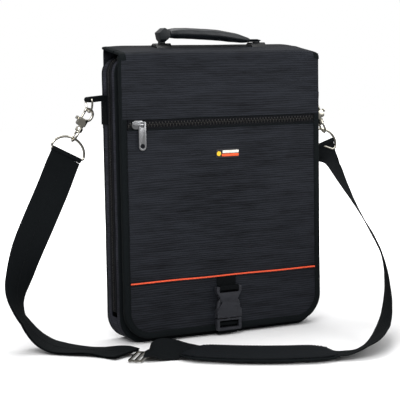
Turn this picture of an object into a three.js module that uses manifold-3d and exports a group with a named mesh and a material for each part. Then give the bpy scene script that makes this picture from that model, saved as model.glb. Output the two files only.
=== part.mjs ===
// Portfolio case: a stiffened cloth case for drawings and paper, with a flap that folds over the top and
// clips at the bottom of the front, and a shoulder strap that hangs from a ring on each side.
// Millimetres, +Z up. The case stands on its bottom at z = 0, faces -Y, and x = 0 is its middle.
import * as THREE from "three";
import { mergeVertices } from "three/addons/utils/BufferGeometryUtils.js";
import Module from "manifold-3d";

const wasm = await Module();
wasm.setup();

// ---------------------------------------------------------------- driving dimensions
const GAP = 0.3; // between pieces that touch on the real case
const WIDTH = 340;
const BODY_HEIGHT = 428;
const HALF = WIDTH / 2;
const CORNER_LOW = 38; // radius of the body's two bottom corners
const CORNER_HIGH = 24; // radius of the body's two top corners
const CLOTH = 1.2;
const BOARD = 2.4;

const REAR_Y = 33; // outside of the rear panel
const ZIP_REAR_Y = 16.8; // where the rear gusset meets the zip
const ZIP_FRONT_Y = -2.8; // where the front gusset meets the zip
const BODY_FRONT_Y = -17; // outside of the front panel
const ZIP_Y = (ZIP_REAR_Y + ZIP_FRONT_Y) / 2;
const ZIP_LOW = 44; // bottom stop of the zip on both sides
const ZIP_SLOT = 1.2; // between the two rows of teeth, where a slider's web runs
const BINDING_PROUD = 0.8; // how far a binding stands out of the cloth that it edges

const FLAP_FRONT_Y = -33; // outside of the flap's front cloth
const FLAP_LOW = 8; // bottom edge of the flap
const FLAP_FOLD_Z = 429.4; // front fold, where the flap turns down
const FLAP_CORNER = 42;
const FLAP_BOARD_Y = [-29.3, -27.3];
const FLAP_LINING_Y = [-27, -26.2];
const BINDING_WIDTH = 10;
const SPINE_REAR = { y: 30.5, z: 444 };
const SPINE_FRONT = { y: -33.2, z: 433.6 };
const SPINE_THICK = 2.4;

const POCKET_ZIP_Z = 328.5;
const POCKET_ZIP_TALL = 16;
const PIPING_Z = 92.5;

const WEBBING = 50; // width of the shoulder strap
const WEBBING_THICK = 1.3;
const LAYER_LIFT = 1.1; // of each layer, where the strap runs double
const PAD = { width: 62, thick: 9 };
const TAB = { width: 20, y: 23, ringX: 196, ringZ: 366, loop: 4 };
const RING_DROP = 18.4; // from the tab ring's bar to the middle of its bow
const HOOK_LENGTH = 50.2; // from the tab ring's bow to the swivel's eye
const SWIVEL_TO_BAR = 22;

// ---------------------------------------------------------------- materials
function cloth(color, roughness = 0.85) {
  return new THREE.MeshStandardMaterial({ color, roughness, metalness: 0 });
}
const FABRIC = cloth(0x26272c);
const BINDING = cloth(0x1c1f21, 0.75);
const LINING = cloth(0x2c2e33);
const STRAP = cloth(0x16191b, 0.8);
const BOARD_GREY = cloth(0x8c8a84, 0.9);
const LEATHER = cloth(0x32383c, 0.45);
const ORANGE = cloth(0xf05a32, 0.6);
const LABEL = cloth(0xd9d2c0, 0.5);
const PLASTIC = cloth(0x2b2c30, 0.4);
const ZIP_NYLON = cloth(0x3a3c40, 0.6);
const METAL = new THREE.MeshStandardMaterial({ color: 0xb9bbbd, roughness: 0.3, metalness: 1 });

// ---------------------------------------------------------------- making solids
const group = new THREE.Group();

function add(name, shape, material) {
  const geometry = shape instanceof wasm.Manifold ? toGeometry(shape) : shape;
  const mesh = new THREE.Mesh(geometry, material);
  mesh.name = name;
  group.add(mesh);
}

function toSolid(geometry) {
  const bare = geometry.clone();
  bare.deleteAttribute("normal");
  bare.deleteAttribute("uv");
  const merged = mergeVertices(bare, 1e-4);
  return new wasm.Manifold(
    new wasm.Mesh({
      numProp: 3,
      vertProperties: new Float32Array(merged.attributes.position.array),
      triVerts: new Uint32Array(merged.index.array),
    }),
  );
}

function toGeometry(solid) {
  const mesh = solid.getMesh();
  const geometry = new THREE.BufferGeometry();
  geometry.setAttribute("position", new THREE.BufferAttribute(new Float32Array(mesh.vertProperties), 3));
  geometry.setIndex(new THREE.BufferAttribute(new Uint32Array(mesh.triVerts), 1));
  geometry.computeVertexNormals();
  return geometry;
}

function join(...geometries) {
  return geometries.map(asSolid).reduce((a, b) => a.add(b));
}

function cut(from, ...geometries) {
  return geometries.map(asSolid).reduce((a, b) => a.subtract(b), asSolid(from));
}

function keep(a, b) {
  return asSolid(a).intersect(asSolid(b));
}

function asSolid(shape) {
  return shape instanceof wasm.Manifold ? shape : toSolid(shape);
}

function block(x, y, z) {
  const geometry = new THREE.BoxGeometry(x[1] - x[0], y[1] - y[0], z[1] - z[0]);
  return geometry.translate((x[0] + x[1]) / 2, (y[0] + y[1]) / 2, (z[0] + z[1]) / 2);
}

// A shape drawn in x and z, made into a slab between two y.
function slab(shape, y, curveSegments = 6) {
  const options = { depth: y[1] - y[0], bevelEnabled: false, curveSegments };
  const geometry = new THREE.ExtrudeGeometry(shape, options);
  return geometry.rotateX(Math.PI / 2).translate(0, y[1], 0);
}

// A shape drawn in y and z, made into a bar between two x.
function bar(shape, x, curveSegments = 6) {
  const options = { depth: x[1] - x[0], bevelEnabled: false, curveSegments };
  const geometry = new THREE.ExtrudeGeometry(shape, options);
  const turn = new THREE.Matrix4().makeBasis(
    new THREE.Vector3(0, 1, 0),
    new THREE.Vector3(0, 0, 1),
    new THREE.Vector3(1, 0, 0),
  );
  return geometry.applyMatrix4(turn).translate(x[0], 0, 0);
}

function polygon(points) {
  return new THREE.Shape(points.map(([u, v]) => new THREE.Vector2(u, v)));
}

function circle(u, v, radius) {
  return new THREE.Shape().absarc(u, v, radius, 0, 2 * Math.PI, false);
}

// A rectangle with one radius for its two bottom corners and one for its two top corners. A radius of 0
// leaves a corner square.
function roundedRect(u0, v0, u1, v1, low, high) {
  const shape = new THREE.Shape();
  const corners = [
    [u0, v0, 1, 1, low, Math.PI], [u1, v0, -1, 1, low, 1.5 * Math.PI],
    [u1, v1, -1, -1, high, 0], [u0, v1, 1, -1, high, 0.5 * Math.PI],
  ];
  corners.forEach(([u, v, inU, inV, radius, from], i) => {
    if (radius > 0) shape.absarc(u + inU * radius, v + inV * radius, radius, from, from + Math.PI / 2, false);
    else if (i === 0) shape.moveTo(u, v);
    else shape.lineTo(u, v);
  });
  shape.closePath();
  return shape;
}

// The body's outline, set in from its outside by inset.
function bodyOutline(inset) {
  return roundedRect(
    inset - HALF, inset, HALF - inset, BODY_HEIGHT - inset,
    CORNER_LOW - inset, CORNER_HIGH - inset,
  );
}

function bodyRing(outer, inner, y) {
  return cut(slab(bodyOutline(outer), y), slab(bodyOutline(inner), [y[0] - 1, y[1] + 1]));
}

// The flap's outline between two heights, set in from its sides, and from its bottom if it reaches that.
function flapOutline(inset, low = FLAP_LOW, high = FLAP_FOLD_Z) {
  const atBottom = low === FLAP_LOW;
  const rise = atBottom ? inset : 0;
  const corner = atBottom ? FLAP_CORNER - inset : 0;
  return roundedRect(inset - HALF, low + rise, HALF - inset, high, corner, 0);
}

// Joins cross-sections, each a list of points, into one closed solid.
// The ends are capped unless it is a loop.
function loft(sections, loop = false) {
  const count = sections[0].length;
  const positions = sections.flat().flatMap((p) => [p.x, p.y, p.z]);
  const index = [];
  const spans = loop ? sections.length : sections.length - 1;
  for (let i = 0; i < spans; i++) {
    const next = (i + 1) % sections.length;
    for (let j = 0; j < count; j++) {
      const k = (j + 1) % count;
      const [a, b, c, d] = [i * count + j, i * count + k, next * count + k, next * count + j];
      const one = sections[i][j].distanceTo(sections[next][k]);
      const other = sections[i][k].distanceTo(sections[next][j]);
      const across = one < other;
      index.push(...(across ? [a, b, c, a, c, d] : [a, b, d, b, c, d]));
    }
  }
  if (!loop) {
    const last = (sections.length - 1) * count;
    for (let j = 1; j < count - 1; j++) {
      index.push(0, j + 1, j);
      index.push(last, last + j, last + j + 1);
    }
  }
  const geometry = new THREE.BufferGeometry();
  geometry.setAttribute("position", new THREE.Float32BufferAttribute(positions, 3));
  geometry.setIndex(signedVolume(positions, index) > 0 ? index : index.reverse());
  geometry.computeVertexNormals();
  return geometry;
}

function signedVolume(positions, index) {
  const corner = (i) => new THREE.Vector3().fromArray(positions, 3 * i);
  let total = 0;
  for (let t = 0; t < index.length; t += 3) {
    total += corner(index[t]).dot(corner(index[t + 1]).cross(corner(index[t + 2])));
  }
  return total;
}

// A round wire along points that lie in one plane, whose normal is given.
function wire(points, radius, normal, loop = false, sides = 8) {
  const up = new THREE.Vector3(...normal).normalize();
  const sections = points.map((point, i) => {
    const before = points[loop ? (i + points.length - 1) % points.length : Math.max(i - 1, 0)];
    const after = points[loop ? (i + 1) % points.length : Math.min(i + 1, points.length - 1)];
    const side = new THREE.Vector3().subVectors(after, before).normalize().cross(up);
    return Array.from({ length: sides }, (_, k) => {
      const angle = (2 * Math.PI * k) / sides;
      const spoke = up.clone().multiplyScalar(Math.cos(angle)).addScaledVector(side, Math.sin(angle));
      return point.clone().addScaledVector(spoke, radius);
    });
  });
  return loft(sections, loop);
}

// Points of a circular arc in the x-z plane about (x, y, z), from one angle in degrees to another.

// ---------------------------------------------------------------- the body of the case
function buildBody() {
  const bindingInner = 1.8;
  const panelInset = bindingInner + GAP;
  const boardInset = 3.5;
  const gusset = 1.5;
  add("back_panel", slab(bodyOutline(panelInset), [REAR_Y - CLOTH, REAR_Y]), FABRIC);
  const rearBoardY = REAR_Y - CLOTH - GAP;
  add("back_board", slab(bodyOutline(boardInset), [rearBoardY - BOARD, rearBoardY]), BOARD_GREY);
  add("rear_binding", bodyBinding(bindingInner, [REAR_Y - 2.8, REAR_Y]), BINDING);
  add("rear_gusset", bodyRing(0, gusset, [ZIP_REAR_Y, REAR_Y - 2.8 - GAP]), FABRIC);
  add("bottom_gusset", bottomGusset(gusset), FABRIC);
  add("front_gusset", bodyRing(0, gusset, [BODY_FRONT_Y + 3.6 + GAP, ZIP_FRONT_Y]), FABRIC);
  add("front_binding", bodyBinding(bindingInner, [BODY_FRONT_Y, BODY_FRONT_Y + 3.6]), BINDING);
  add("front_panel", slab(bodyOutline(panelInset), [BODY_FRONT_Y, BODY_FRONT_Y + CLOTH]), FABRIC);
  const frontBoardY = BODY_FRONT_Y + CLOTH + GAP;
  add("front_board", slab(bodyOutline(boardInset), [frontBoardY, frontBoardY + BOARD]), BOARD_GREY);
  const strip = roundedRect(5 - HALF, 404, HALF - 5, 441, 6, 0);
  add("flap_rear_strip", slab(strip, [REAR_Y + GAP, REAR_Y + GAP + 1.4]), FABRIC);
}

// The tape over a panel's edge. It is pressed flat under the case, where the case stands on it.
function bodyBinding(inner, y) {
  return cut(bodyRing(-BINDING_PROUD, inner, y), block([-HALF - 5, HALF + 5], [-40, 40], [-5, 0]));
}

// The strip under the case that joins the front and rear gussets below the zip's two bottom stops.
function bottomGusset(thick) {
  const band = bodyRing(0, thick, [ZIP_FRONT_Y + GAP, ZIP_REAR_Y - GAP]);
  return keep(band, block([-HALF - 1, HALF + 1], [-40, 40], [-1, ZIP_LOW - GAP]));
}

// The zip round both sides and the top. Its two sliders stand at the top corners, so its top is open and
// its tapes are turned in there. Both rows meet in a stop at the bottom of each side.
function buildBodyZip() {
  const tape = bodyRing(0.6, 1.4, [ZIP_FRONT_Y + GAP, ZIP_REAR_Y - GAP]);
  const top = block([-HALF - 1, HALF + 1], [-40, 40], [ZIP_LOW, BODY_HEIGHT]);
  const mouthOutline = roundedRect(24 - HALF, 400, HALF - 24, 440, 2, 2);
  const mouth = slab(mouthOutline, [ZIP_FRONT_Y + 3.3, ZIP_REAR_Y - 3.3]);
  const slot = block([-HALF - 3, HALF + 3], [ZIP_Y - ZIP_SLOT / 2, ZIP_Y + ZIP_SLOT / 2], [ZIP_LOW + 6, 440]);
  const teeth = [-1, 1].flatMap((side) => [-1, 1].map((row) => teethRow(side, row)));
  add("case_zip", cut(keep(join(tape, ...teeth), top), mouth, slot), ZIP_NYLON);
}

// One row of coil teeth, standing on the outside of the tape, with a notch between one tooth and the next.
function teethRow(side, row) {
  const pitch = 8;
  const high = BODY_HEIGHT - CORNER_HIGH;
  const near = ZIP_Y;
  const [deep, shallow] = [ZIP_Y + row * 3.6, ZIP_Y + row * 2.8];
  const points = [[near, ZIP_LOW]];
  for (let z = ZIP_LOW; z + pitch <= high; z += pitch) {
    points.push([deep, z + 0.8], [deep, z + pitch - 1.6], [shallow, z + pitch - 0.8]);
  }
  points.push([near, high]);
  const x = side < 0 ? [-HALF - 1, -HALF + 0.8] : [HALF - 0.8, HALF + 1];
  return bar(polygon(row > 0 ? points : points.reverse()), x);
}

// A slider on the zip at one side: a plate over the teeth and one behind the tape, joined by a thin web
// that runs in the slot, with a bridge on the outside that holds the pull.
function buildSideSlider(name, side) {
  const z = [388, 404];
  const at = (from, to) => (side < 0 ? [-to, -from] : [from, to]);
  const outer = block(at(HALF + 1.3, HALF + 2.6), [ZIP_Y - 5, ZIP_Y + 5], z);
  const inner = block(at(HALF - 2.8, HALF - 1.8), [ZIP_Y - 4.5, ZIP_Y + 4.5], z);
  const web = block(at(HALF - 2.4, HALF + 2), [ZIP_Y - 0.3, ZIP_Y + 0.3], [z[0] + 2, z[1] - 2]);
  const posts = block(at(HALF + 2, HALF + 6), [ZIP_Y - 1.5, ZIP_Y + 1.5], [z[0] + 2, z[1] - 2]);
  const eye = block(at(HALF + 2.6, HALF + 5.1), [ZIP_Y - 2, ZIP_Y + 2], [z[0] + 4, z[1] - 4]);
  add(`${name}_slider`, join(outer, inner, web, cut(posts, eye)), METAL);
  const pull = roundedRect(ZIP_Y - 4, z[0] - 26, ZIP_Y + 4, z[1] - 8.5, 3.9, 1.5);
  pull.holes.push(circle(ZIP_Y, z[0] - 20, 2.4));
  const window = roundedRect(ZIP_Y - 2, z[0] + 0.5, ZIP_Y + 2, z[1] - 10.3, 0.5, 0.5);
  pull.holes.push(window);
  add(`${name}_pull`, bar(pull, at(HALF + 3.3, HALF + 4.4), 4), METAL);
}

// ---------------------------------------------------------------- the flap
function buildCover() {
  const inset = 1.5;
  const skin = [FLAP_FRONT_Y, FLAP_FRONT_Y + CLOTH];
  const zipTop = POCKET_ZIP_Z + POCKET_ZIP_TALL / 2;
  const zipLow = POCKET_ZIP_Z - POCKET_ZIP_TALL / 2;
  add("upper_panel", slab(flapOutline(inset, zipTop + GAP), skin), FABRIC);
  add("pocket_panel", slab(flapOutline(inset, PIPING_Z + GAP, zipLow - GAP), skin), FABRIC);
  add("lower_panel", slab(flapOutline(inset, FLAP_LOW, PIPING_Z), skin), FABRIC);
  add("flap_board", slab(flapOutline(inset), FLAP_BOARD_Y), BOARD_GREY);
  add("flap_lining", slab(flapOutline(inset), FLAP_LINING_Y), LINING);
  add("flap_binding", coverBinding(), BINDING);
  add("orange_piping", piping(), ORANGE);
  const label = roundedRect(-14, 273, 26, 287, 1.5, 1.5);
  add("label_patch", slab(label, [FLAP_FRONT_Y - GAP - 1.2, FLAP_FRONT_Y - GAP]), LABEL);
  buildPocketZip(zipLow, zipTop);
}

// The tape folded over the flap's two sides and bottom, with the flap's layers in the groove inside it.
function coverBinding() {
  const tape = 0.9;
  const front = FLAP_FRONT_Y - GAP;
  const rear = FLAP_LINING_Y[1] + GAP;
  const past = FLAP_FOLD_Z + 20;
  const inside = slab(flapOutline(BINDING_WIDTH, FLAP_LOW, past), [front - 5, rear + 5]);
  const groove = slab(flapOutline(1.2, FLAP_LOW, past), [front, rear]);
  return cut(slab(flapOutline(0), [front - tape, rear + tape]), inside, groove);
}

function piping() {
  const reach = HALF - BINDING_WIDTH - GAP;
  return bar(circle(FLAP_FRONT_Y - GAP - 1.25, PIPING_Z, 1.25), [-reach, reach], 6);
}

// The pocket's zip: two tapes with a row of teeth each, joined by a stop at each end.
function buildPocketZip(low, high) {
  const reach = HALF - BINDING_WIDTH - 1;
  const tape = slab(roundedRect(-reach, low, reach, high, 0.5, 0.5), [FLAP_FRONT_Y + 0.2, FLAP_FRONT_Y + 1]);
  const teeth = [-1, 1].map((row) => pocketTeeth(row, reach));
  const slotZ = [POCKET_ZIP_Z - ZIP_SLOT / 2, POCKET_ZIP_Z + ZIP_SLOT / 2];
  const slot = block([6 - reach, reach - 6], [-40, -20], slotZ);
  add("pocket_zip", cut(join(tape, ...teeth), slot), ZIP_NYLON);
}

function pocketTeeth(row, reach) {
  const pitch = 6;
  const deep = POCKET_ZIP_Z + row * 3.4;
  const shallow = POCKET_ZIP_Z + row * 2.6;
  const points = [[-reach, POCKET_ZIP_Z]];
  for (let x = -reach; x + pitch <= reach; x += pitch) {
    points.push([x + 0.6, deep], [x + pitch - 1.2, deep], [x + pitch - 0.6, shallow]);
  }
  points.push([reach, POCKET_ZIP_Z]);
  return slab(polygon(row > 0 ? points.reverse() : points), [FLAP_FRONT_Y - 1.2, FLAP_FRONT_Y + 0.6]);
}

function buildPocketSlider() {
  const x = [-153, -134];
  const y = FLAP_FRONT_Y;
  const z = POCKET_ZIP_Z;
  const outer = slab(roundedRect(x[0], z - 6.3, x[1], z + 6.3, 5.5, 5.5), [y - 3.1, y - 1.5]);
  const inner = slab(roundedRect(x[0], z - 5.6, x[1], z + 5.6, 3, 3), [y + 1.3, y + 2.3]);
  const web = block([x[0] + 3, x[1] - 3], [y - 2, y + 2], [z - 0.3, z + 0.3]);
  const posts = block([x[0] + 2, x[1] - 2], [y - 6.5, y - 2.5], [z - 1.6, z + 1.6]);
  const eye = block([x[0] + 5, x[1] - 5], [y - 5.2, y - 3.1], [z - 2, z + 2]);
  add("pocket_slider", join(outer, inner, web, cut(posts, eye)), METAL);
  const middle = x[1] - 3.5;
  const half = 5.8;
  const tongue = roundedRect(middle - half, z - 38, middle + half, z + 4.6, half - 0.1, 2.5);
  tongue.holes.push(circle(middle, z - 31.6, 3.8));
  tongue.holes.push(roundedRect(middle - 2.6, z - 4.4, middle + 2.6, z + 2.4, 0.5, 0.5));
  add("pocket_pull", slab(tongue, [y - 4.9, y - 3.4], 6), METAL);
}

// The strip over the top of the case, between the two folds, sloping down to the front.
function spineStrip(inset, over, under, reach) {
  const slope = Math.atan2(SPINE_REAR.z - SPINE_FRONT.z, SPINE_REAR.y - SPINE_FRONT.y);
  const [sin, cos] = [Math.sin(slope), Math.cos(slope)];
  const place = (p, along, up) => [p.y + along * cos - up * sin, p.z + along * sin + up * cos];
  return bar(
    polygon([
      place(SPINE_FRONT, inset, -under), place(SPINE_REAR, -inset, -under),
      place(SPINE_REAR, -inset, over), place(SPINE_FRONT, inset, over),
    ]),
    reach,
  );
}

function buildSpine() {
  const reach = HALF - 1.5;
  const edge = BINDING_WIDTH;
  add("spine_panel", spineStrip(0, 0, SPINE_THICK, [-reach, reach]), FABRIC);
  for (const [name, side] of [["spine_binding_left", -1], ["spine_binding_right", 1]]) {
    const x = side < 0 ? [-HALF, -HALF + edge] : [HALF - edge, HALF];
    const inner = side < 0 ? [-reach - GAP, -HALF + edge + 1] : [HALF - edge - 1, reach + GAP];
    const wrap = spineStrip(0.2, GAP + 0.8, SPINE_THICK + GAP + 0.8, x);
    add(name, cut(wrap, spineStrip(-2, GAP, SPINE_THICK + GAP, inner)), BINDING);
  }
}

// ---------------------------------------------------------------- the carrying handle
const HANDLE = { y: 12, left: -80, right: 84, leftZ: 463, rightZ: 450, pivotZ: 448.6, neck: 2.6 };
const HANDLE_FOOT = { long: 13, deep: 12, seat: 4.6, edge: 1.5 };
// The grip's middle line and half sizes: [x, z, half width, half height].
const GRIP = [
  [-68, 462.6, 10, 6.4], [-58, 462.9, 12.8, 8], [-36, 462.6, 13.2, 8.4], [8, 460, 13.2, 8.4],
  [28, 457.8, 12.8, 8], [48, 455, 11.6, 7], [60, 453, 9, 5.4], [70, 451.6, 5.5, 3.2],
];

// How high the spine's cloth stands at a given depth.
function spineTop(y) {
  const slope = (SPINE_REAR.z - SPINE_FRONT.z) / (SPINE_REAR.y - SPINE_FRONT.y);
  return SPINE_FRONT.z + (y - SPINE_FRONT.y) * slope;
}

function buildHandle() {
  add("handle_tab_left", handleTab(HANDLE.left), LEATHER);
  add("handle_tab_right", handleTab(HANDLE.right), LEATHER);
  add("handle_grip", grip(), LEATHER);
  add("handle_end_left", endCap(HANDLE.left, HANDLE.leftZ, 1, 8, 11.6), LEATHER);
  add("handle_end_right", endCap(HANDLE.right, HANDLE.rightZ, -1, 3, 13.4), LEATHER);
}

// A leather foot sewn to the spine, with a round groove on top that the handle's neck turns in.
function handleTab(x) {
  const { y, pivotZ, neck } = HANDLE;
  const { long, deep, seat, edge } = HANDLE_FOOT;
  const top = pivotZ - 0.6;
  const foot = polygon([
    [y - deep, spineTop(y - deep) + GAP], [y + deep, spineTop(y + deep) + GAP],
    [y + deep, spineTop(y + deep) + edge], [y + seat, top],
    [y - seat, top], [y - deep, spineTop(y - deep) + edge],
  ]);
  const groove = bar(circle(y, pivotZ, neck + 0.35), [x - 20, x + 20]);
  return cut(bar(foot, [x - long, x + long]), groove);
}

// The padded grip: a flattened tube that is high at its left end and slopes down to the right.
function grip() {
  const sides = 10;
  const line = new THREE.CatmullRomCurve3(GRIP.map(([x, z]) => new THREE.Vector3(x, HANDLE.y, z)));
  const size = new THREE.CatmullRomCurve3(GRIP.map(([, , wide, tall]) => new THREE.Vector3(wide, tall, 0)));
  const count = (GRIP.length - 1) * 2;
  const sections = Array.from({ length: count + 1 }, (_, i) => {
    const middle = line.getPoint(i / count);
    const { x: wide, y: tall } = size.getPoint(i / count);
    return Array.from({ length: sides }, (_, k) => {
      const angle = (2 * Math.PI * (k + 0.5)) / sides;
      const y = HANDLE.y + wide * Math.cos(angle);
      return new THREE.Vector3(middle.x, y, middle.z + tall * Math.sin(angle));
    });
  });
  return loft(sections);
}

// The leather end that narrows from the grip down to a round neck, about which the handle turns.
function endCap(x, z, inward, tall, reach) {
  const { y, pivotZ, neck } = HANDLE;
  const shoulder = 3.5;
  const outline = [
    [x - 4 * inward, pivotZ + 1], [x + 4 * inward, pivotZ + 1],
    [x + reach * inward, z - shoulder], [x + reach * inward, z + Math.min(tall, shoulder)],
    [x + 2 * inward, z + tall], [x - 7 * inward, z + 1],
  ];
  const flank = polygon([
    [y - 1.6, pivotZ], [y + 1.6, pivotZ], [y + 9, pivotZ + 5.5],
    [y + 9, z + 9], [y - 9, z + 9], [y - 9, pivotZ + 5.5],
  ]);
  const cap = keep(slab(polygon(outline), [y - 9, y + 9]), bar(flank, [x - 20, x + 20]));
  return join(cap, bar(circle(y, pivotZ, neck), [x - 5, x + 5]));
}

// ---------------------------------------------------------------- the buckle
const BUCKLE = { y: -40, half: 21, baseLow: 8.6, socketLow: 28.5, socketTop: 76.5, webbing: 16 };
const BUCKLE_WEB = 1.2;
const LEAD_Z = 3;

function buildBuckle() {
  const { y, half, baseLow, socketLow, socketTop, webbing } = BUCKLE;
  const eyeReach = webbing + 0.6;
  const outline = polygon([
    [-half, socketTop], [-half, socketTop - 8], [-13, 54.5], [-12.8, 51],
    [-half, socketLow + 11.5], [-half, socketLow], [half, socketLow], [half, socketLow + 11.5],
    [12.8, 51], [13, 54.5], [half, socketTop - 8], [half, socketTop],
  ]);
  const cavity = polygon([
    [-half - 1, socketLow - 1], [half + 1, socketLow - 1], [half + 1, 58],
    [16, socketTop - 15], [-16, socketTop - 15], [-half - 1, 58],
  ]);
  const eye = slab(roundedRect(-eyeReach, socketTop - 9, eyeReach, socketTop - 4, 1, 1), [y - 6, y + 6]);
  const shell = slab(outline, [y - 4.5, y + 4.5]);
  add("buckle_socket", cut(shell, slab(cavity, [y - 2.6, y + 2.6]), eye), PLASTIC);
  const socketBar = { y: [y - 4.5, y + 4.5], z: [socketTop - 4, socketTop] };
  const rise = block([-webbing, webbing], webBack(socketBar), [socketTop, PIPING_Z - 1.6]);
  add("buckle_webbing", join(webLoop(socketBar, webbing), rise), STRAP);

  const base = roundedRect(-half, baseLow, half, socketLow - 1.9, 3, 1);
  base.holes.push(roundedRect(-eyeReach, baseLow + 4.2, eyeReach, socketLow - 4.7, 1, 1));
  const guide = block([-3, 3], [y - 2, y + 2], [socketLow - 3, 59]);
  const baseBar = { y: [y + 1.1, y + 2.9], z: [baseLow + 8.4, baseLow + 11] };
  const rung = block([-eyeReach - 1, eyeReach + 1], baseBar.y, baseBar.z);
  add("buckle_insert", join(slab(base, [y - 3.4, y + 3.4]), guide, rung), PLASTIC);
  add("buckle_prong_left", prong(-1), PLASTIC);
  add("buckle_prong_right", prong(1), PLASTIC);
  const drop = [y + 3.7, y + 4.9];
  const fall = block([-webbing, webbing], drop, [LEAD_Z, baseLow + 10]);
  const lead = block([-webbing, webbing], [drop[0], BODY_FRONT_Y - GAP], [LEAD_Z, LEAD_Z + BUCKLE_WEB]);
  add("buckle_lower_webbing", join(webLoop(baseBar, webbing), fall, lead), STRAP);
}

// One springy side arm of the buckle's insert, with the ear that shows in the socket's side.
function prong(side) {
  const low = BUCKLE.socketLow - 1.2;
  const points = [
    [9, low], [15, low], [19.5, 34], [20, 45], [18.5, 53], [13, 59],
    [10, 60], [10.5, 56], [14, 50], [14.5, 43], [10, 35],
  ].map(([x, z]) => [side * x, z]);
  return slab(polygon(points), [BUCKLE.y - 2.1, BUCKLE.y + 2.1]);
}

// Where the webbing behind a bar stands, front to back.
function webBack(barBox) {
  return [barBox.y[1] + GAP, barBox.y[1] + GAP + BUCKLE_WEB];
}

// Webbing sewn round one of the buckle's bars.
function webLoop(barBox, reach) {
  const out = GAP + BUCKLE_WEB;
  const [nearY, farY] = barBox.y;
  const [lowZ, highZ] = barBox.z;
  const outer = roundedRect(nearY - out, lowZ - out, farY + out, highZ + out, 1.2, 1.2);
  outer.holes.push(roundedRect(nearY - GAP, lowZ - GAP, farY + GAP, highZ + GAP, 0.2, 0.2));
  return bar(outer, [-reach, reach], 3);
}

// ---------------------------------------------------------------- side hardware
// Each side is drawn in a plane with u outward from the case and z up, then placed on the left or right.
function sidePoint(side, u, z, y = TAB.y) {
  return new THREE.Vector3(side * u, y, z);
}

function sideTab(side) {
  const low = 328;
  const high = TAB.ringZ + 6;
  const near = HALF + BINDING_PROUD + GAP;
  const strip = [
    [near, low], [near + 1.6, low], [near + 1.6, high - 8], [TAB.ringX, TAB.ringZ - TAB.loop],
    [TAB.ringX, TAB.ringZ + TAB.loop], [near, high],
  ].map(([u, z]) => [side * u, z]);
  const y = [TAB.y - TAB.width / 2, TAB.y + TAB.width / 2];
  const loop = slab(circle(side * TAB.ringX, TAB.ringZ, TAB.loop), y, 10);
  const bore = slab(circle(side * TAB.ringX, TAB.ringZ, 2), [y[0] - 1, y[1] + 1], 10);
  return cut(join(slab(polygon(side < 0 ? strip.reverse() : strip), y), loop), bore);
}

// The ring in the tab: a straight bar along y with a bow below it.
function tabRing(side) {
  const half = 13;
  const radius = 1.6;
  const x = side * TAB.ringX;
  const points = [];
  for (const t of [-1, 1]) points.push(new THREE.Vector3(x, TAB.y + t * half, TAB.ringZ));
  const steps = 10;
  for (let i = 0; i <= steps; i++) {
    const angle = (Math.PI * i) / steps;
    const drop = 3 + (RING_DROP - 3) * Math.sin(angle);
    points.push(new THREE.Vector3(x, TAB.y + half * Math.cos(angle), TAB.ringZ - drop));
  }
  return wire(points, radius, [1, 0, 0], true);
}

// The frame of one side's hook: down the chain from the tab ring's bow, leaning outward by an angle.
function hookFrame(side, lean) {
  const angle = THREE.MathUtils.degToRad(lean);
  const out = new THREE.Vector3(side * Math.cos(angle), 0, Math.sin(angle));
  const up = new THREE.Vector3(-side * Math.sin(angle), 0, Math.cos(angle));
  const y = new THREE.Vector3().crossVectors(up, out);
  const origin = sidePoint(side, TAB.ringX, TAB.ringZ - RING_DROP);
  return new THREE.Matrix4().makeBasis(out, y, up).setPosition(origin);
}

function lathe(profile, segments = 12) {
  const points = profile.map(([r, z]) => new THREE.Vector2(r, z));
  return new THREE.LatheGeometry(points, segments).rotateX(Math.PI / 2);
}

const BOLT_U = 6.4;

function hookBody(frame) {
  const path = [
    [0, -15], [-6.3, -11], [-7.8, -4.5], [-6.2, 0.8], [-1.5, 4], [3.5, 3.2], [6.4, 0.4], [6.6, -3.4],
  ]
    .map(([u, z]) => new THREE.Vector3(u, 0, z));
  const curve = new THREE.CatmullRomCurve3(path).getPoints(18);
  const arm = wire(curve, 2, [0, 1, 0]);
  const body = slab(roundedRect(-4.6, -25, 9.4, -13, 3, 3), [-4, 4]);
  const bore = lathe([[0, -24], [2, -24], [2, -10], [0, -10]]).translate(BOLT_U, 0, 0);
  const slot = block([BOLT_U, 12], [-1.3, 1.3], [-22, -14.4]);
  const stud = lathe([
    [0, -36], [3.4, -36], [3.4, -34], [2.2, -34], [2.2, -27.4], [3.8, -27.4], [3.8, -24], [0, -24],
  ]);
  return cut(join(arm, body, stud), bore, slot).transform(frame.toArray());
}

function hookBolt(frame) {
  const rod = lathe([[0, -19.5], [1.6, -19.5], [1.6, -3.8], [0, -3.8]]).translate(BOLT_U, 0, 0);
  const stem = block([BOLT_U, 11.5], [-1, 1], [-17.6, -15.6]);
  const knob = slab(roundedRect(11, -19, 14, -14.2, 1, 1), [-2.4, 2.4]);
  return join(rod, stem, knob).transform(frame.toArray());
}

function swivel(frame) {
  const collar = cut(
    lathe([[0, -33.6], [5.6, -33.6], [5.6, -27.8], [0, -27.8]]),
    lathe([[0, -40], [2.5, -40], [2.5, -20], [0, -20]]),
  );
  const points = [
    [5, -33], [6.4, -38], [6.4, -43], [4.4, -48], [0, -50.5], [-4.4, -48], [-6.4, -43], [-6.4, -38], [-5, -33],
  ]
    .map(([v, z]) => new THREE.Vector3(0, v, z));
  const loop = wire(points, 1.8, [1, 0, 0]);
  const room = lathe([[0, -45], [3.9, -45], [3.9, -33.5], [0, -33.5]]);
  return join(collar, cut(loop, room)).transform(frame.toArray());
}

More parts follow.
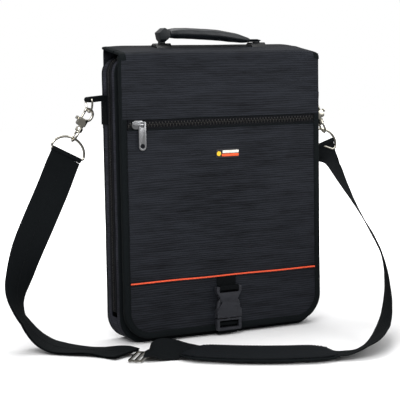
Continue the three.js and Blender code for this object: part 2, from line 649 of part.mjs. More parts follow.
// The wide ring on the strap's end: a straight bar below, and a bow that goes up through the swivel's eye.
function strapRing(barMiddle, along, up) {
  const half = WEBBING / 2 + 2.2;
  const steps = 16;
  const corner = 4;
  const height = SWIVEL_TO_BAR + 4.2;
  const local = [[-half + corner, 0], [half - corner, 0]];
  for (let i = 0; i <= steps; i++) {
    const angle = (Math.PI * i) / steps;
    local.push([half * Math.cos(angle), corner + (height - corner) * Math.sin(angle)]);
  }
  const points = local.map(([s, t]) => barMiddle.clone().addScaledVector(along, s).addScaledVector(up, t));
  return wire(points, 2, [0, 1, 0], true);
}

const SIDES = [
  { name: "left", side: -1, hookLean: 34, ringLean: 27 },
  { name: "right", side: 1, hookLean: 23.5, ringLean: -18.5 },
];

function buildSide({ name, side, hookLean, ringLean }) {
  const frame = hookFrame(side, hookLean);
  add(`side_tab_${name}`, sideTab(side), STRAP);
  add(`tab_ring_${name}`, tabRing(side), METAL);
  add(`hook_${name}`, hookBody(frame), METAL);
  add(`hook_bolt_${name}`, hookBolt(frame), METAL);
  add(`swivel_${name}`, swivel(frame), METAL);
  const { middle, along, up } = ringPlace(side, hookLean, ringLean);
  add(`strap_ring_${name}`, strapRing(middle, along, up), METAL);
}

function ringPlace(side, hookLean, ringLean) {
  const eye = new THREE.Vector3(0, 0, -HOOK_LENGTH).applyMatrix4(hookFrame(side, hookLean));
  const angle = THREE.MathUtils.degToRad(ringLean);
  const up = new THREE.Vector3(-side * Math.sin(angle), 0, Math.cos(angle));
  const along = new THREE.Vector3(Math.cos(angle), 0, side * Math.sin(angle));
  return { middle: eye.clone().addScaledVector(up, -SWIVEL_TO_BAR), along, up };
}

// ---------------------------------------------------------------- the shoulder strap
// Routes of the strap, lying in front of the case: [x, y, z] of its middle, and the direction of its width.
const LEFT_ROUTE = [
  [[-258, 22, 236], [0.94, -0.05, -0.28]],
  [[-282, 20, 189], [0.96, -0.05, -0.2]],
  [[-301, 17, 152], [0.96, 0.05, -0.2]],
  [[-313, 18, 118], [0.93, 0.3, -0.22]],
  [[-320, 19, 90], [0.8, 0.54, -0.26]],
  [[-319, 17, 67], [0.62, 0.75, -0.2]],
  [[-312, 14, 47], [0.5, 0.86, -0.1]],
  [[-299, 11, 27], [0.6, 0.8, -0.03]],
  [[-285, 2, 13], [0.68, 0.73, 0.02]],
  [[-270, -12, 6], [0.66, 0.74, 0.08]],
  [[-254, -29, 4], [0.6, 0.8, 0.02]],
  [[-238, -44, 4], [0.58, 0.81, -0.05]],
  [[-224, -57, 4], [0.6, 0.8, -0.03]],
  [[-212, -72, 5], [0.66, 0.74, 0.08]],
  [[-204, -88, 6], [0.7, 0.7, 0.12]],
  [[-198, -103, 6.4], [0.68, 0.73, 0.05]],
];
const SLIDER = { at: [-186, -117, 2], along: [0.8, -0.6, 0] };
const HUMP_ROUTE = [
  [[-173, -124.5, 8.6], [0.6, 0.8, 0.06]],
  [[-166, -127, 11], [0.55, 0.77, 0.32]],
  [[-157, -129, 12.4], [0.52, 0.75, 0.4]],
  [[-147, -131, 12.4], [0.53, 0.75, 0.4]],
  [[-138, -133.5, 11.6], [0.56, 0.75, 0.35]],
];
const PAD_ROUTE = [
  [[-122, -141, 9], [0.8, 0.58, 0.08]],
  [[-104, -170, 10], [0.72, 0.68, 0.12]],
  [[-62, -206, 10], [0.6, 0.79, 0.14]],
  [[-20, -232, 10], [0.48, 0.87, 0.14]],
  [[20, -249, 10], [0.34, 0.93, 0.12]],
  [[56, -256, 8], [0.19, 0.98, 0.06]],
];
const RIGHT_ROUTE = [
  [[65, -260, 6], [0.2, 0.97, -0.1]],
  [[77, -264, 8], [0.1, 0.97, -0.2]],
  [[89, -265, 11], [-0.1, 0.94, -0.33]],
  [[104, -261, 13], [-0.42, 0.8, -0.43]],
  [[123, -249, 16], [-0.5, 0.68, -0.53]],
  [[147, -228, 19], [-0.45, 0.64, -0.63]],
  [[174, -201, 29], [-0.25, 0.64, -0.73]],
  [[202, -170, 50], [0.06, 0.63, -0.78]],
  [[225, -136, 84], [0.34, 0.58, -0.74]],
  [[240, -98, 122], [0.58, 0.52, -0.62]],
  [[243, -57, 157], [0.64, 0.62, -0.46]],
  [[238, -30, 189], [0.66, 0.7, -0.26]],
  [[229, -10, 222], [0.76, 0.64, -0.12]],
  [[222, 8, 251], [0.88, 0.42, -0.16]],
];

function vector(list) {
  return new THREE.Vector3(...list);
}

// A flat band along a route, thick across its face, kept level in its width by each station's direction.
function ribbon(route, { width = WEBBING, thick = WEBBING_THICK, lift = 0, skip = 0, perSpan = 3 } = {}) {
  const middles = new THREE.CatmullRomCurve3(route.map(([p]) => vector(p)), false, "centripetal");
  const widths = new THREE.CatmullRomCurve3(route.map(([, a]) => vector(a)), false, "centripetal");
  const count = (route.length - 1) * perSpan;
  const sections = Array.from({ length: count + 1 }, (_, i) => {
    const t = i / count;
    const tangent = middles.getTangent(t);
    const across = widths.getPoint(t);
    across.addScaledVector(tangent, -across.dot(tangent)).normalize();
    const face = new THREE.Vector3().crossVectors(tangent, across).normalize();
    const middle = middles.getPoint(t).addScaledVector(face, lift);
    return [[-1, -1], [1, -1], [1, 1], [-1, 1]].map(([a, b]) =>
      middle.clone().addScaledVector(across, (a * width) / 2).addScaledVector(face, (b * thick) / 2));
  });
  return loft(sections.slice(skip));
}

// The fold of webbing round a strap ring's bar, as a sleeve.
function barSleeve(middle, along) {
  const length = WEBBING - 6;
  const ring = new THREE.Shape().absarc(0, 0, 3.9, 0, 2 * Math.PI, false);
  ring.holes.push(new THREE.Path().absarc(0, 0, 2.4, 0, 2 * Math.PI, true));
  const sleeve = new THREE.ExtrudeGeometry(ring, { depth: length, bevelEnabled: false, curveSegments: 8 });
  sleeve.translate(0, 0, -length / 2);
  const third = new THREE.Vector3(0, 1, 0);
  const basis = new THREE.Matrix4().makeBasis(third, new THREE.Vector3().crossVectors(along, third), along);
  return sleeve.applyMatrix4(basis.setPosition(middle));
}

// The strap leaves its ring square to the bar, so its route starts with two stations below the bar.
function topStations({ side, hookLean, ringLean }) {
  const { middle, along, up } = ringPlace(side, hookLean, ringLean);
  return [3.3, 14].map((below) => [middle.clone().addScaledVector(up, -below).toArray(), along.toArray()]);
}

function buildStrap() {
  const [left, right] = SIDES;
  const leftRoute = [...topStations(left), ...LEFT_ROUTE];
  const leftRing = ringPlace(left.side, left.hookLean, left.ringLean);
  const sleeve = barSleeve(leftRing.middle, leftRing.along);
  add("strap_left", join(ribbon(leftRoute, { lift: LAYER_LIFT }), sleeve), STRAP);
  add("strap_left_return", ribbon(leftRoute, { lift: -LAYER_LIFT, skip: 2 }), STRAP);
  buildStrapSlider();
  add("strap_middle", ribbon(HUMP_ROUTE), STRAP);
  add("shoulder_pad", ribbon(PAD_ROUTE, { width: PAD.width, thick: PAD.thick }), STRAP);
  const rightRing = ringPlace(right.side, right.hookLean, right.ringLean);
  const rightRoute = [...RIGHT_ROUTE, ...topStations(right).reverse()];
  add("strap_right", join(ribbon(rightRoute), barSleeve(rightRing.middle, rightRing.along)), STRAP);
}

// The metal adjuster: a flat frame with a middle bar, across the strap.
function buildStrapSlider() {
  const half = WEBBING / 2;
  const frame = roundedRect(-10, -half - 4, 10, half + 4, 2, 2);
  frame.holes.push(roundedRect(-7.5, -half - 1, -1.4, half + 1, 0.5, 0.5));
  frame.holes.push(roundedRect(1.4, -half - 1, 7.5, half + 1, 0.5, 0.5));
  const geometry = new THREE.ExtrudeGeometry(frame, { depth: 2.4, bevelEnabled: false, curveSegments: 3 });
  const along = vector(SLIDER.along).normalize();
  const up = new THREE.Vector3(0, 0, 1);
  const across = new THREE.Vector3().crossVectors(up, along);
  const basis = new THREE.Matrix4().makeBasis(along, across, up).setPosition(vector(SLIDER.at));
  add("strap_slider", geometry.applyMatrix4(basis), METAL);
}

buildBody();
buildBodyZip();
buildSideSlider("right_zip", 1);
buildCover();
buildPocketSlider();
buildSpine();
buildHandle();
buildBuckle();
for (const side of SIDES) buildSide(side);
buildStrap();

export default group;
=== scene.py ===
"""The looks of a cloth portfolio case with its flap, zips, buckle, handle and strap, round its CAD frame."""

import math

import bmesh
import bpy
import numpy as np
from mathutils import Matrix, Vector, noise

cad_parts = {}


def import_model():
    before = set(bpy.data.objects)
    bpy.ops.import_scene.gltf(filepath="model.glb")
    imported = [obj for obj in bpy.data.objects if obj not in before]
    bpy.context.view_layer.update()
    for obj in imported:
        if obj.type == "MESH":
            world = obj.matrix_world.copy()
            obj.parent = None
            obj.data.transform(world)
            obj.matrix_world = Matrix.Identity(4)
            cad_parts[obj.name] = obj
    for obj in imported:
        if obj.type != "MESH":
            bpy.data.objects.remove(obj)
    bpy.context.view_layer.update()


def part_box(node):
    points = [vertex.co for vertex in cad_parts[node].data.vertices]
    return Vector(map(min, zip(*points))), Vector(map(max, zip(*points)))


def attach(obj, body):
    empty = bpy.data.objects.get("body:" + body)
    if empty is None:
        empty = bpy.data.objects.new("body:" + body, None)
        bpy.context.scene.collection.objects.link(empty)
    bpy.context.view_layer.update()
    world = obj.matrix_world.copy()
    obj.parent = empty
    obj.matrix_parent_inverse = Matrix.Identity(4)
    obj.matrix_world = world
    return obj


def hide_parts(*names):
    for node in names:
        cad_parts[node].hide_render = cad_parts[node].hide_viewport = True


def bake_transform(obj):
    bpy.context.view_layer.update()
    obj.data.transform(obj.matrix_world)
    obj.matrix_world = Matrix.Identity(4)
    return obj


MM = 0.001

# Sizes and places in millimetres. A name that ends in _Y or _YS holds depths, and one in _Z a height.
HALF = 170
BODY_HIGH = 428
CORNER_LOW = 38
CORNER_HIGH = 24
FLAP_LOW = 8
FLAP_CORNER = 42
FLAP_FACE_Y = -33
FLAP_FOLD_Z = 429.4
NO_TOP_CORNERS = 500
POCKET_ZIP_Z = 328.5
POCKET_ZIP_HALF = 7.7
PIPING_Z = 92.5
ZIP_Y = 7
ZIP_LOW = 44
ZIP_SEAM_YS = (("rear", 15.2), ("front", -1.2))
REAR_GUSSET_YS = (16.8, 30.2)
FRONT_GUSSET_YS = (-13.4, -2.8)
REAR_BINDING_YS = (30.2, 33.2)
FRONT_BINDING_YS = (-17.2, -13.4)
BACK_CLOTH_Y = 32.4
FRONT_CLOTH_Y = -16.4
FLAP_SEAM_INSET = 8.6
WEBBING = 50
WEBBING_THICK = 1.3
LAYER_LIFT = 1.1
SELVEDGE_RISE = 0.105
PAD_WIDE = 62
PAD_THICK = 9
CLOTH_THICK = 1.2
DROOP_FROM_X = 130
DROOP_FROM_Z = 405
DROOP_RISE = 30
DROOP_LEFT = 2.0
DROOP_RIGHT = 5.5
HANDLE_Y = 12

# The pad's simulation: its pressure and frames, and voxel size, furthest move and lowest point in metres.
PAD_PRESSURE = 4.0
PAD_FRAMES = 20
PAD_VOXEL = 0.0042
PAD_SWELL = 0.0014
PAD_LOWEST = 0.0008

# The camera: sensor and lens in millimetres, place in metres, angles in degrees.
SENSOR = 36
LENS = 118.71
CAMERA_PLACE = (-0.941, -1.804, 0.421)
CAMERA_TURN = -26.91
CAMERA_DIP = 6.03
CAMERA_ROLL = -0.97

# How far the floor reaches each way, in millimetres.
FLOOR_REACH = 6000


# ---------------------------------------------------------------- small helpers
def linear(rgb):
    """An sRGB colour, 0 to 255, as linear values with alpha."""
    values = [c / 255 for c in rgb]
    return [c / 12.92 if c <= 0.04045 else ((c + 0.055) / 1.055) ** 2.4 for c in values] + [1.0]


def new_object(name, verts, faces, uvs=None):
    """A mesh object from points in millimetres, lifted to the floor. uvs has a pair for each face corner."""
    mesh = bpy.data.meshes.new(name)
    mesh.from_pydata([Vector((x, y, max(z, 0.0))) * MM for x, y, z in verts], [], faces)
    if uvs is not None:
        layer = mesh.uv_layers.new(name="UVMap")
        layer.data.foreach_set("uv", np.array(uvs, np.float32).ravel())
    obj = bpy.data.objects.new(name, mesh)
    bpy.context.scene.collection.objects.link(obj)
    return obj


def smooth(obj, degrees=40):
    obj.data.shade_smooth()
    obj.data.set_sharp_from_angle(angle=math.radians(degrees))
    return obj


def face_outward(obj):
    bm = bmesh.new()
    bm.from_mesh(obj.data)
    bmesh.ops.recalc_face_normals(bm, faces=bm.faces)
    bm.to_mesh(obj.data)
    bm.free()
    return obj


def apply_modifiers(obj):
    """Puts the result of an object's modifiers into its mesh."""
    graph = bpy.context.evaluated_depsgraph_get()
    mesh = bpy.data.meshes.new_from_object(obj.evaluated_get(graph))
    obj.modifiers.clear()
    obj.data = mesh
    return obj


def paint(obj, material):
    obj.data.materials.clear()
    obj.data.materials.append(material)
    return obj


def circle(count):
    """Cosines and sines evenly round a circle."""
    angles = [2 * math.pi * k / count for k in range(count)]
    return [(math.cos(angle), math.sin(angle)) for angle in angles]


def tangent_at(line, i):
    """The direction of a line of vectors at one of them."""
    return (line[min(i + 1, len(line) - 1)] - line[max(i - 1, 0)]).normalized()


def finish_piece(obj, material, body=None, nodes=()):
    """Gives a piece its material and the body it rides on, and hides the CAD nodes that it stands for."""
    paint(obj, material)
    if body:
        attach(obj, body)
    if nodes:
        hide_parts(*nodes)
    return obj


def loft(name, sections, loop=False):
    """A skin over closed cross-sections of equal size, with UVs in metres: u round the section, v along."""
    count = len(sections[0])
    verts = [p for section in sections for p in section]
    spans = len(sections) if loop else len(sections) - 1
    along = [0.0]
    for i in range(spans):
        a = sections[i]
        b = sections[(i + 1) % len(sections)]
        steps = [(Vector(q) - Vector(p)).length for p, q in zip(a, b)]
        along.append(along[-1] + sum(steps) / count)
    first = sections[0]
    around = [0.0]
    for k in range(count):
        around.append(around[-1] + (Vector(first[(k + 1) % count]) - Vector(first[k])).length)
    faces, uvs = [], []
    for i in range(spans):
        j = (i + 1) % len(sections)
        for k in range(count):
            m = (k + 1) % count
            faces.append((i * count + k, i * count + m, j * count + m, j * count + k))
            corners = ((k, i), (k + 1, i), (k + 1, i + 1), (k, i + 1))
            uvs += [(around[u] * MM, along[v] * MM) for u, v in corners]
    if not loop:
        faces.append(tuple(reversed(range(count))))
        faces.append(tuple(range(spans * count, spans * count + count)))
        uvs += [(0, 0)] * (2 * count)
    return face_outward(new_object(name, verts, faces, uvs))


def catmull(points, step=4.0):
    """Points about a step apart on a smooth curve through vectors, each with its place on their list."""
    out = []
    for i in range(len(points) - 1):
        p0 = points[max(i - 1, 0)]
        p1, p2 = points[i], points[i + 1]
        p3 = points[min(i + 2, len(points) - 1)]
        pieces = max(1, round((p2 - p1).length / step))
        for k in range(pieces):
            t = k / pieces
            out.append((spline(p0, p1, p2, p3, t), i + t))
    out.append((points[-1].copy(), float(len(points) - 1)))
    return out


def spline(p0, p1, p2, p3, t):
    slope = (p2 - p0) * t
    bend = (p0 * 2 - p1 * 5 + p2 * 4 - p3) * t * t
    twist = (p3 - p0 + p1 * 3 - p2 * 3) * t * t * t
    return (p1 * 2 + slope + bend + twist) * 0.5


def rounded_outline(inset, low, high, corner_low, corner_high, step=6.0):
    """Points (x, z) and outward normals clockwise round a rounded rectangle, from the bottom's middle."""
    left, right = -HALF + inset, HALF - inset
    low, high = low + inset, high - inset
    corners = [
        (left, low, max(corner_low - inset, 0.01), 270, 180),
        (left, high, max(corner_high - inset, 0.01), 180, 90),
        (right, high, max(corner_high - inset, 0.01), 90, 0),
        (right, low, max(corner_low - inset, 0.01), 0, -90),
    ]
    ring = [((0.0, low), (0.0, -1.0))]
    for x, z, radius, start, end in corners:
        cx = x + math.copysign(radius, -x)
        cz = z + (radius if z == low else -radius)
        steps = max(2, round(math.radians(90) * radius / step * 1.6))
        for i in range(steps + 1):
            angle = math.radians(start + (end - start) * i / steps)
            normal = (math.cos(angle), math.sin(angle))
            ring.append(((cx + radius * normal[0], cz + radius * normal[1]), normal))
    return fill_gaps(ring + [ring[0]], step)[:-1]


def fill_gaps(ring, step):
    """Adds points on the straight stretches of an outline."""
    out = []
    for (a, na), (b, nb) in zip(ring, ring[1:]):
        length = math.hypot(b[0] - a[0], b[1] - a[1])
        pieces = max(1, round(length / step))
        for i in range(pieces):
            t = i / pieces
            point = (a[0] + (b[0] - a[0]) * t, a[1] + (b[1] - a[1]) * t)
            normal = (na[0] + (nb[0] - na[0]) * t, na[1] + (nb[1] - na[1]) * t)
            size = math.hypot(*normal) or 1
            out.append((point, (normal[0] / size, normal[1] / size)))
    out.append(ring[-1])
    return out


def body_outline(step=6.0):
    return rounded_outline(0, 0, BODY_HIGH, CORNER_LOW, CORNER_HIGH, step)


def flap_outline(step=6.0):
    """The flap's free edge: down the left side, along the bottom and up the right side."""
    ring = rounded_outline(0, FLAP_LOW, FLAP_FOLD_Z, FLAP_CORNER, 0, step)
    start = next(i for i, (p, _) in enumerate(ring) if p[1] > FLAP_FOLD_Z - 1)
    end = max(i for i, (p, _) in enumerate(ring) if p[1] > FLAP_FOLD_Z - 1)
    edge = ring[end:] + ring[: start + 1]
    return [(p, n if abs(p[1] - FLAP_FOLD_Z) > 1 else (math.copysign(1, p[0]), 0.0)) for p, n in edge]


def sweep(name, path, profile, loop=True, wave=0.0):
    """Sweeps a closed profile of (outward, y) points along an outline, with a small wave for cloth."""
    sections = []
    for (x, z), (nx, nz) in path:
        ripple = wave * noise.noise(Vector((x, z, 0)) * 0.045) if wave else 0.0
        section = []
        for out, y in profile:
            push = out + ripple
            section.append((x + nx * push, y, z + nz * push))
        sections.append(section)
    return loft(name, sections, loop=loop)


def rounded_profile(lows, highs, radius, steps=3):
    """A closed rounded rectangle between two corners (outward, y)."""
    points = []
    centres = [
        (highs[0] - radius, highs[1] - radius, 0), (lows[0] + radius, highs[1] - radius, 90),
        (lows[0] + radius, lows[1] + radius, 180), (highs[0] - radius, lows[1] + radius, 270),
    ]
    for cx, cy, start in centres:
        for i in range(steps + 1):
            angle = math.radians(start + 90 * i / steps)
            points.append((cx + radius * math.cos(angle), cy + radius * math.sin(angle)))
    return points


def capsule_row(name, stations, length, radius):
    """A row of stitches or teeth: small capsules at (centre, direction, face) stations, as one mesh."""
    verts, faces = [], []
    rings = [(-0.5, 0.35), (-0.36, 1.0), (0.36, 1.0), (0.5, 0.35)]
    sides = 6
    for centre, along, face in stations:
        along = along.normalized()
        face = (face - along * face.dot(along)).normalized()
        side = along.cross(face)
        base = len(verts)
        for place, wide in rings:
            for c, s in circle(sides):
                offset = face * c + side * s
                verts.append(centre + along * (place * length) + offset * (radius * wide))
        for r in range(len(rings) - 1):
            for k in range(sides):
                m = (k + 1) % sides
                low = base + r * sides
                faces.append((low + k, low + m, low + sides + m, low + sides + k))
        faces.append(tuple(base + k for k in reversed(range(sides))))
        faces.append(tuple(base + (len(rings) - 1) * sides + k for k in range(sides)))
    return smooth(face_outward(new_object(name, verts, faces)), 60)


def even_points(points, spacing):
    """Places along a line of vectors, evenly spaced, each with the line's direction."""
    out = []
    left = spacing / 2
    for a, b in zip(points, points[1:]):
        length = (b - a).length
        if length < 1e-9:
            continue
        place = left
        while place < length:
            out.append((a + (b - a) * (place / length), (b - a).normalized()))
            place += spacing
        left = place - length
    return out


def stitches(name, points, face, body, material, spacing=4.2, length=3.0, radius=0.28):
    """A row of stitches along a line of vectors; face is the way that the cloth looks."""
    stations = []
    for centre, along in even_points(points, spacing):
        normal = face(centre) if callable(face) else Vector(face)
        stations.append((centre, along, normal))
    row = capsule_row(name, stations, length, radius)
    return finish_piece(row, material, body)


# ---------------------------------------------------------------- materials
class Nodes:
    """Builds one material's node tree."""

    def __init__(self, name):
        self.material = bpy.data.materials.new(name)
        self.material.use_nodes = True
        self.tree = self.material.node_tree
        self.shader = self.tree.nodes["Principled BSDF"]
        coords = self.tree.nodes.new("ShaderNodeTexCoord")
        self.place = coords.outputs["Object"]
        self.uv = coords.outputs["UV"]

    def add(self, kind, inputs=None, **settings):
        node = self.tree.nodes.new(kind)
        for key, value in settings.items():
            setattr(node, key, value)
        for key, value in (inputs or {}).items():
            self.feed(node, key, value)
        return node

    def feed(self, node, key, value):
        if isinstance(value, bpy.types.NodeSocket):
            self.tree.links.new(value, node.inputs[key])
        else:
            node.inputs[key].default_value = value

    def set(self, **values):
        """Sets the shader's inputs, named with _ for each space."""
        for key, value in values.items():
            self.feed(self.shader, key.replace("_", " "), value)

    def math(self, operation, a, b):
        return self.add("ShaderNodeMath", {0: a, 1: b}, operation=operation).outputs[0]

    def scaled(self, value, weight, base):
        """A value times a weight, plus a base."""
        return self.math("ADD", self.math("MULTIPLY", value, weight), base)

    def mixed(self, a, share_a, b, share_b):
        """Two values, each times its share, added up."""
        return self.math("ADD", self.math("MULTIPLY", a, share_a), self.math("MULTIPLY", b, share_b))

    def noise(self, vector, scale, detail=2.0, rough=0.5):
        inputs = {"Vector": vector, "Scale": scale, "Detail": detail, "Roughness": rough}
        return self.add("ShaderNodeTexNoise", inputs).outputs["Fac"]

    def stretch(self, scale):
        return self.add("ShaderNodeMapping", {"Vector": self.place, "Scale": scale}).outputs[0]

    def split(self, vector):
        """A vector's X, Y and Z."""
        outputs = self.add("ShaderNodeSeparateXYZ", {"Vector": vector}).outputs
        return [outputs[axis] for axis in "XYZ"]

    def ridges(self, value, pitch):
        """0 to 1 and back, once for each pitch of a length in metres."""
        return self.math("PINGPONG", self.math("MULTIPLY", value, 2 / pitch), 1.0)

    def ramp(self, value, stops):
        node = self.add("ShaderNodeValToRGB", {"Fac": value})
        while len(node.color_ramp.elements) < len(stops):
            node.color_ramp.elements.new(0.5)
        for element, (place, color) in zip(node.color_ramp.elements, stops):
            element.position = place
            element.color = color
        return node.outputs["Color"]

    def color(self, tone, rgb, spread, places):
        """Colours the surface from a darker over the plain to a lighter rgb, at three places of a tone."""
        plain = linear(rgb)
        tones = [[c * f for c in plain[:3]] + [1.0] for f in (1 - spread, 1, 1 + spread)]
        self.set(Base_Color=self.ramp(tone, list(zip(places, tones))))

    def bump(self, height, distance, strength):
        inputs = {"Height": height, "Distance": distance, "Strength": strength}
        self.set(Normal=self.add("ShaderNodeBump", inputs).outputs[0])


def ribbed_cloth(name, rgb, axis, grain):
    """Woven nylon with broken, slubby ribs. axis is the coordinate that the ribs are counted along."""
    n = Nodes(name)
    drawn_out = n.stretch(grain)
    sway = n.noise(drawn_out, 22.0, 3.0, 0.6)
    wander = n.math("MULTIPLY", n.math("SUBTRACT", sway, 0.5), 0.011)
    ribs = n.ridges(n.math("ADD", n.split(n.place)["XYZ".index(axis)], wander), 0.0034)
    slubs = n.noise(drawn_out, 190.0, 3.0, 0.7)
    long_slubs = n.noise(drawn_out, 75.0, 2.0, 0.5)
    threads = n.ridges(n.split(n.place)[0], 0.0009)
    streaks = n.mixed(slubs, 0.75, long_slubs, 0.75)
    body = n.math("MULTIPLY", n.scaled(ribs, 0.45, 0.55), streaks)
    height = n.math("ADD", body, n.math("MULTIPLY", threads, 0.08))
    patches = n.math("SUBTRACT", n.noise(n.place, 6.0), 0.5)
    tone = n.math("ADD", height, n.math("MULTIPLY", patches, 0.35))
    n.color(tone, rgb, 0.55, (0.34, 0.58, 0.86))
    n.set(Roughness=n.scaled(slubs, 0.2, 0.55), Specular_IOR_Level=0.1)
    n.bump(height, 0.0009, 0.9)
    return n.material


def tape_cloth(name, rgb):
    """Ribbed tape: fine ribs across its run, from the UVs in metres."""
    n = Nodes(name)
    ribs = n.ridges(n.split(n.uv)[1], 0.0013)
    fuzz = n.noise(n.place, 900.0)
    patches = n.noise(n.place, 16.0, 3.0)
    height = n.math("ADD", ribs, n.math("MULTIPLY", fuzz, 0.5))
    n.color(n.mixed(height, 0.4, patches, 0.4), rgb, 0.38, (0.15, 0.45, 0.85))
    n.set(Roughness=n.scaled(fuzz, 0.2, 0.62), Specular_IOR_Level=0.07)
    n.bump(height, 0.0002, 0.9)
    return n.material


def webbing_cloth(name, rgb):
    """Heavy webbing: a herringbone weave from the UVs in metres."""
    n = Nodes(name)
    across, along, _ = n.split(n.uv)
    chevron = n.math("PINGPONG", across, 0.0042)
    twill = n.ridges(n.math("ADD", along, chevron), 0.0026)
    yarn = n.ridges(across, 0.0011)
    fuzz = n.noise(n.place, 700.0)
    height = n.math("ADD", n.mixed(twill, 0.6, yarn, 0.25), n.math("MULTIPLY", fuzz, 0.3))
    patches = n.noise(n.place, 14.0, 3.0)
    n.color(n.mixed(height, 0.5, patches, 0.35), rgb, 0.4, (0.15, 0.5, 0.9))
    n.set(Roughness=n.scaled(fuzz, 0.2, 0.6), Specular_IOR_Level=0.06)
    n.bump(height, 0.0003, 0.9)
    return n.material


def plain_cloth(name, rgb, pitch):
    """Plain weave from object coordinates, for linings, zip tape and thread."""
    n = Nodes(name)
    x, y, z = n.split(n.place)
    warp = n.ridges(n.math("ADD", x, y), pitch)
    weft = n.ridges(n.math("ADD", z, y), pitch)
    patches = n.noise(n.place, 18.0, 3.0)
    height = n.math("MAXIMUM", warp, weft)
    n.color(n.mixed(height, 0.4, patches, 0.5), rgb, 0.3, (0.2, 0.55, 0.9))
    n.set(Roughness=n.scaled(patches, 0.2, 0.65), Specular_IOR_Level=0.08)
    n.bump(height, 0.00015, 0.8)
    return n.material


def leather(name, rgb):
    """Smooth grained leather with worn, paler high spots."""
    n = Nodes(name)
    cells = n.add("ShaderNodeTexVoronoi", {"Vector": n.place, "Scale": 620.0}).outputs["Distance"]
    folds = n.noise(n.stretch((1.0, 3.0, 3.0)), 90.0, 4.0, 0.6)
    wear = n.noise(n.place, 28.0, 4.0)
    height = n.math("ADD", n.math("MULTIPLY", cells, 0.5), folds)
    n.color(n.mixed(wear, 0.7, cells, 0.2), rgb, 0.45, (0.2, 0.5, 0.8))
    n.set(Roughness=n.scaled(wear, 0.25, 0.26), Specular_IOR_Level=0.5)
    n.bump(height, 0.00035, 0.7)
    return n.material


def moulded(name, rgb, rough):
    """Moulded plastic: faint grain, scuffs and uneven gloss."""
    n = Nodes(name)
    grain = n.noise(n.place, 1500.0)
    scuffs = n.noise(n.stretch((1.0, 1.0, 4.0)), 60.0, 4.0, 0.7)
    n.color(scuffs, rgb, 0.2, (0.3, 0.5, 0.75))
    n.set(Roughness=n.scaled(scuffs, 0.25, rough - 0.12), Specular_IOR_Level=0.3)
    n.bump(n.math("ADD", grain, n.math("MULTIPLY", scuffs, 0.6)), 0.00006, 0.8)
    return n.material


def metal(name, rgb, rough, scratch):
    """Plated metal with fine scratches and slightly cloudy patches."""
    n = Nodes(name)
    fine = n.noise(n.stretch((1.0, 1.0, 6.0)), 420.0, 3.0, 0.7)
    cloud = n.noise(n.place, 70.0, 3.0)
    n.color(cloud, rgb, 0.14, (0.3, 0.5, 0.7))
    n.set(Roughness=n.scaled(fine, 0.2 * scratch, rough), Metallic=1.0)
    n.bump(fine, 0.00004, scratch)
    return n.material


def cord_thread(name, rgb):
    """Bright twisted cord, for the piping."""
    n = Nodes(name)
    x, y, z = n.split(n.place)
    lean = n.math("MULTIPLY", n.math("SUBTRACT", z, y), 1.2)
    twist = n.ridges(n.math("ADD", x, lean), 0.0021)
    patches = n.noise(n.place, 45.0, 3.0)
    n.color(n.mixed(twist, 0.45, patches, 0.45), rgb, 0.3, (0.1, 0.45, 0.9))
    n.set(Roughness=n.scaled(patches, 0.2, 0.45))
    n.bump(twist, 0.0003, 0.8)
    return n.material


def pressed_board(name, rgb):
    """Stiff fibre board."""
    n = Nodes(name)
    fibres = n.noise(n.stretch((1.0, 1.0, 7.0)), 160.0, 4.0, 0.7)
    n.color(fibres, rgb, 0.2, (0.3, 0.5, 0.7))
    n.set(Roughness=n.scaled(fibres, 0.2, 0.7))
    n.bump(fibres, 0.0002, 0.5)
    return n.material


def make_materials():
    black = (28, 30, 35)
    return {
        "front": ribbed_cloth("cloth_upright", black, "Z", (0.22, 1.0, 1.6)),
        # The top's cloth is the upright cloth turned level, in a darker colour: painted shade on the top.
        "top": ribbed_cloth("cloth_level_painted_shade", (22, 23, 27), "Y", (0.22, 1.6, 1.0)),
        "side": ribbed_cloth("cloth_gusset", (36, 37, 44), "Z", (1.0, 0.3, 1.4)),
        "binding": tape_cloth("binding_tape", (15, 19, 21)),
        "tape": plain_cloth("zip_tape", (20, 21, 24), 0.0012),
        "lining": plain_cloth("lining_cloth", (44, 46, 51), 0.0009),
        "thread": plain_cloth("black_thread", (24, 25, 28), 0.0004),
        "webbing": webbing_cloth("strap_webbing", (14, 17, 19)),
        "pad": plain_cloth("pad_cloth", (17, 20, 23), 0.0016),
        "leather": leather("handle_leather", (20, 24, 28)),
        "leather_dark": leather("handle_foot_leather", (12, 14, 16)),
        "plastic": moulded("buckle_plastic", (44, 45, 50), 0.36),
        "piping": cord_thread("orange_cord", (240, 84, 44)),
        "nickel": metal("nickel_plate", (204, 200, 188), 0.13, 0.4),
        "zinc": metal("zip_zinc", (208, 209, 212), 0.24, 0.7),
        "coil": moulded("zip_coil", (36, 35, 34), 0.3),
        "patch": moulded("label_base", (36, 36, 40), 0.5),
        "patch_pale": moulded("label_pale", (236, 232, 220), 0.5),
        "patch_orange": moulded("label_orange", (236, 92, 46), 0.5),
        "patch_yellow": moulded("label_yellow", (244, 196, 44), 0.5),
        "board": pressed_board("stiff_board", (52, 50, 47)),
    }


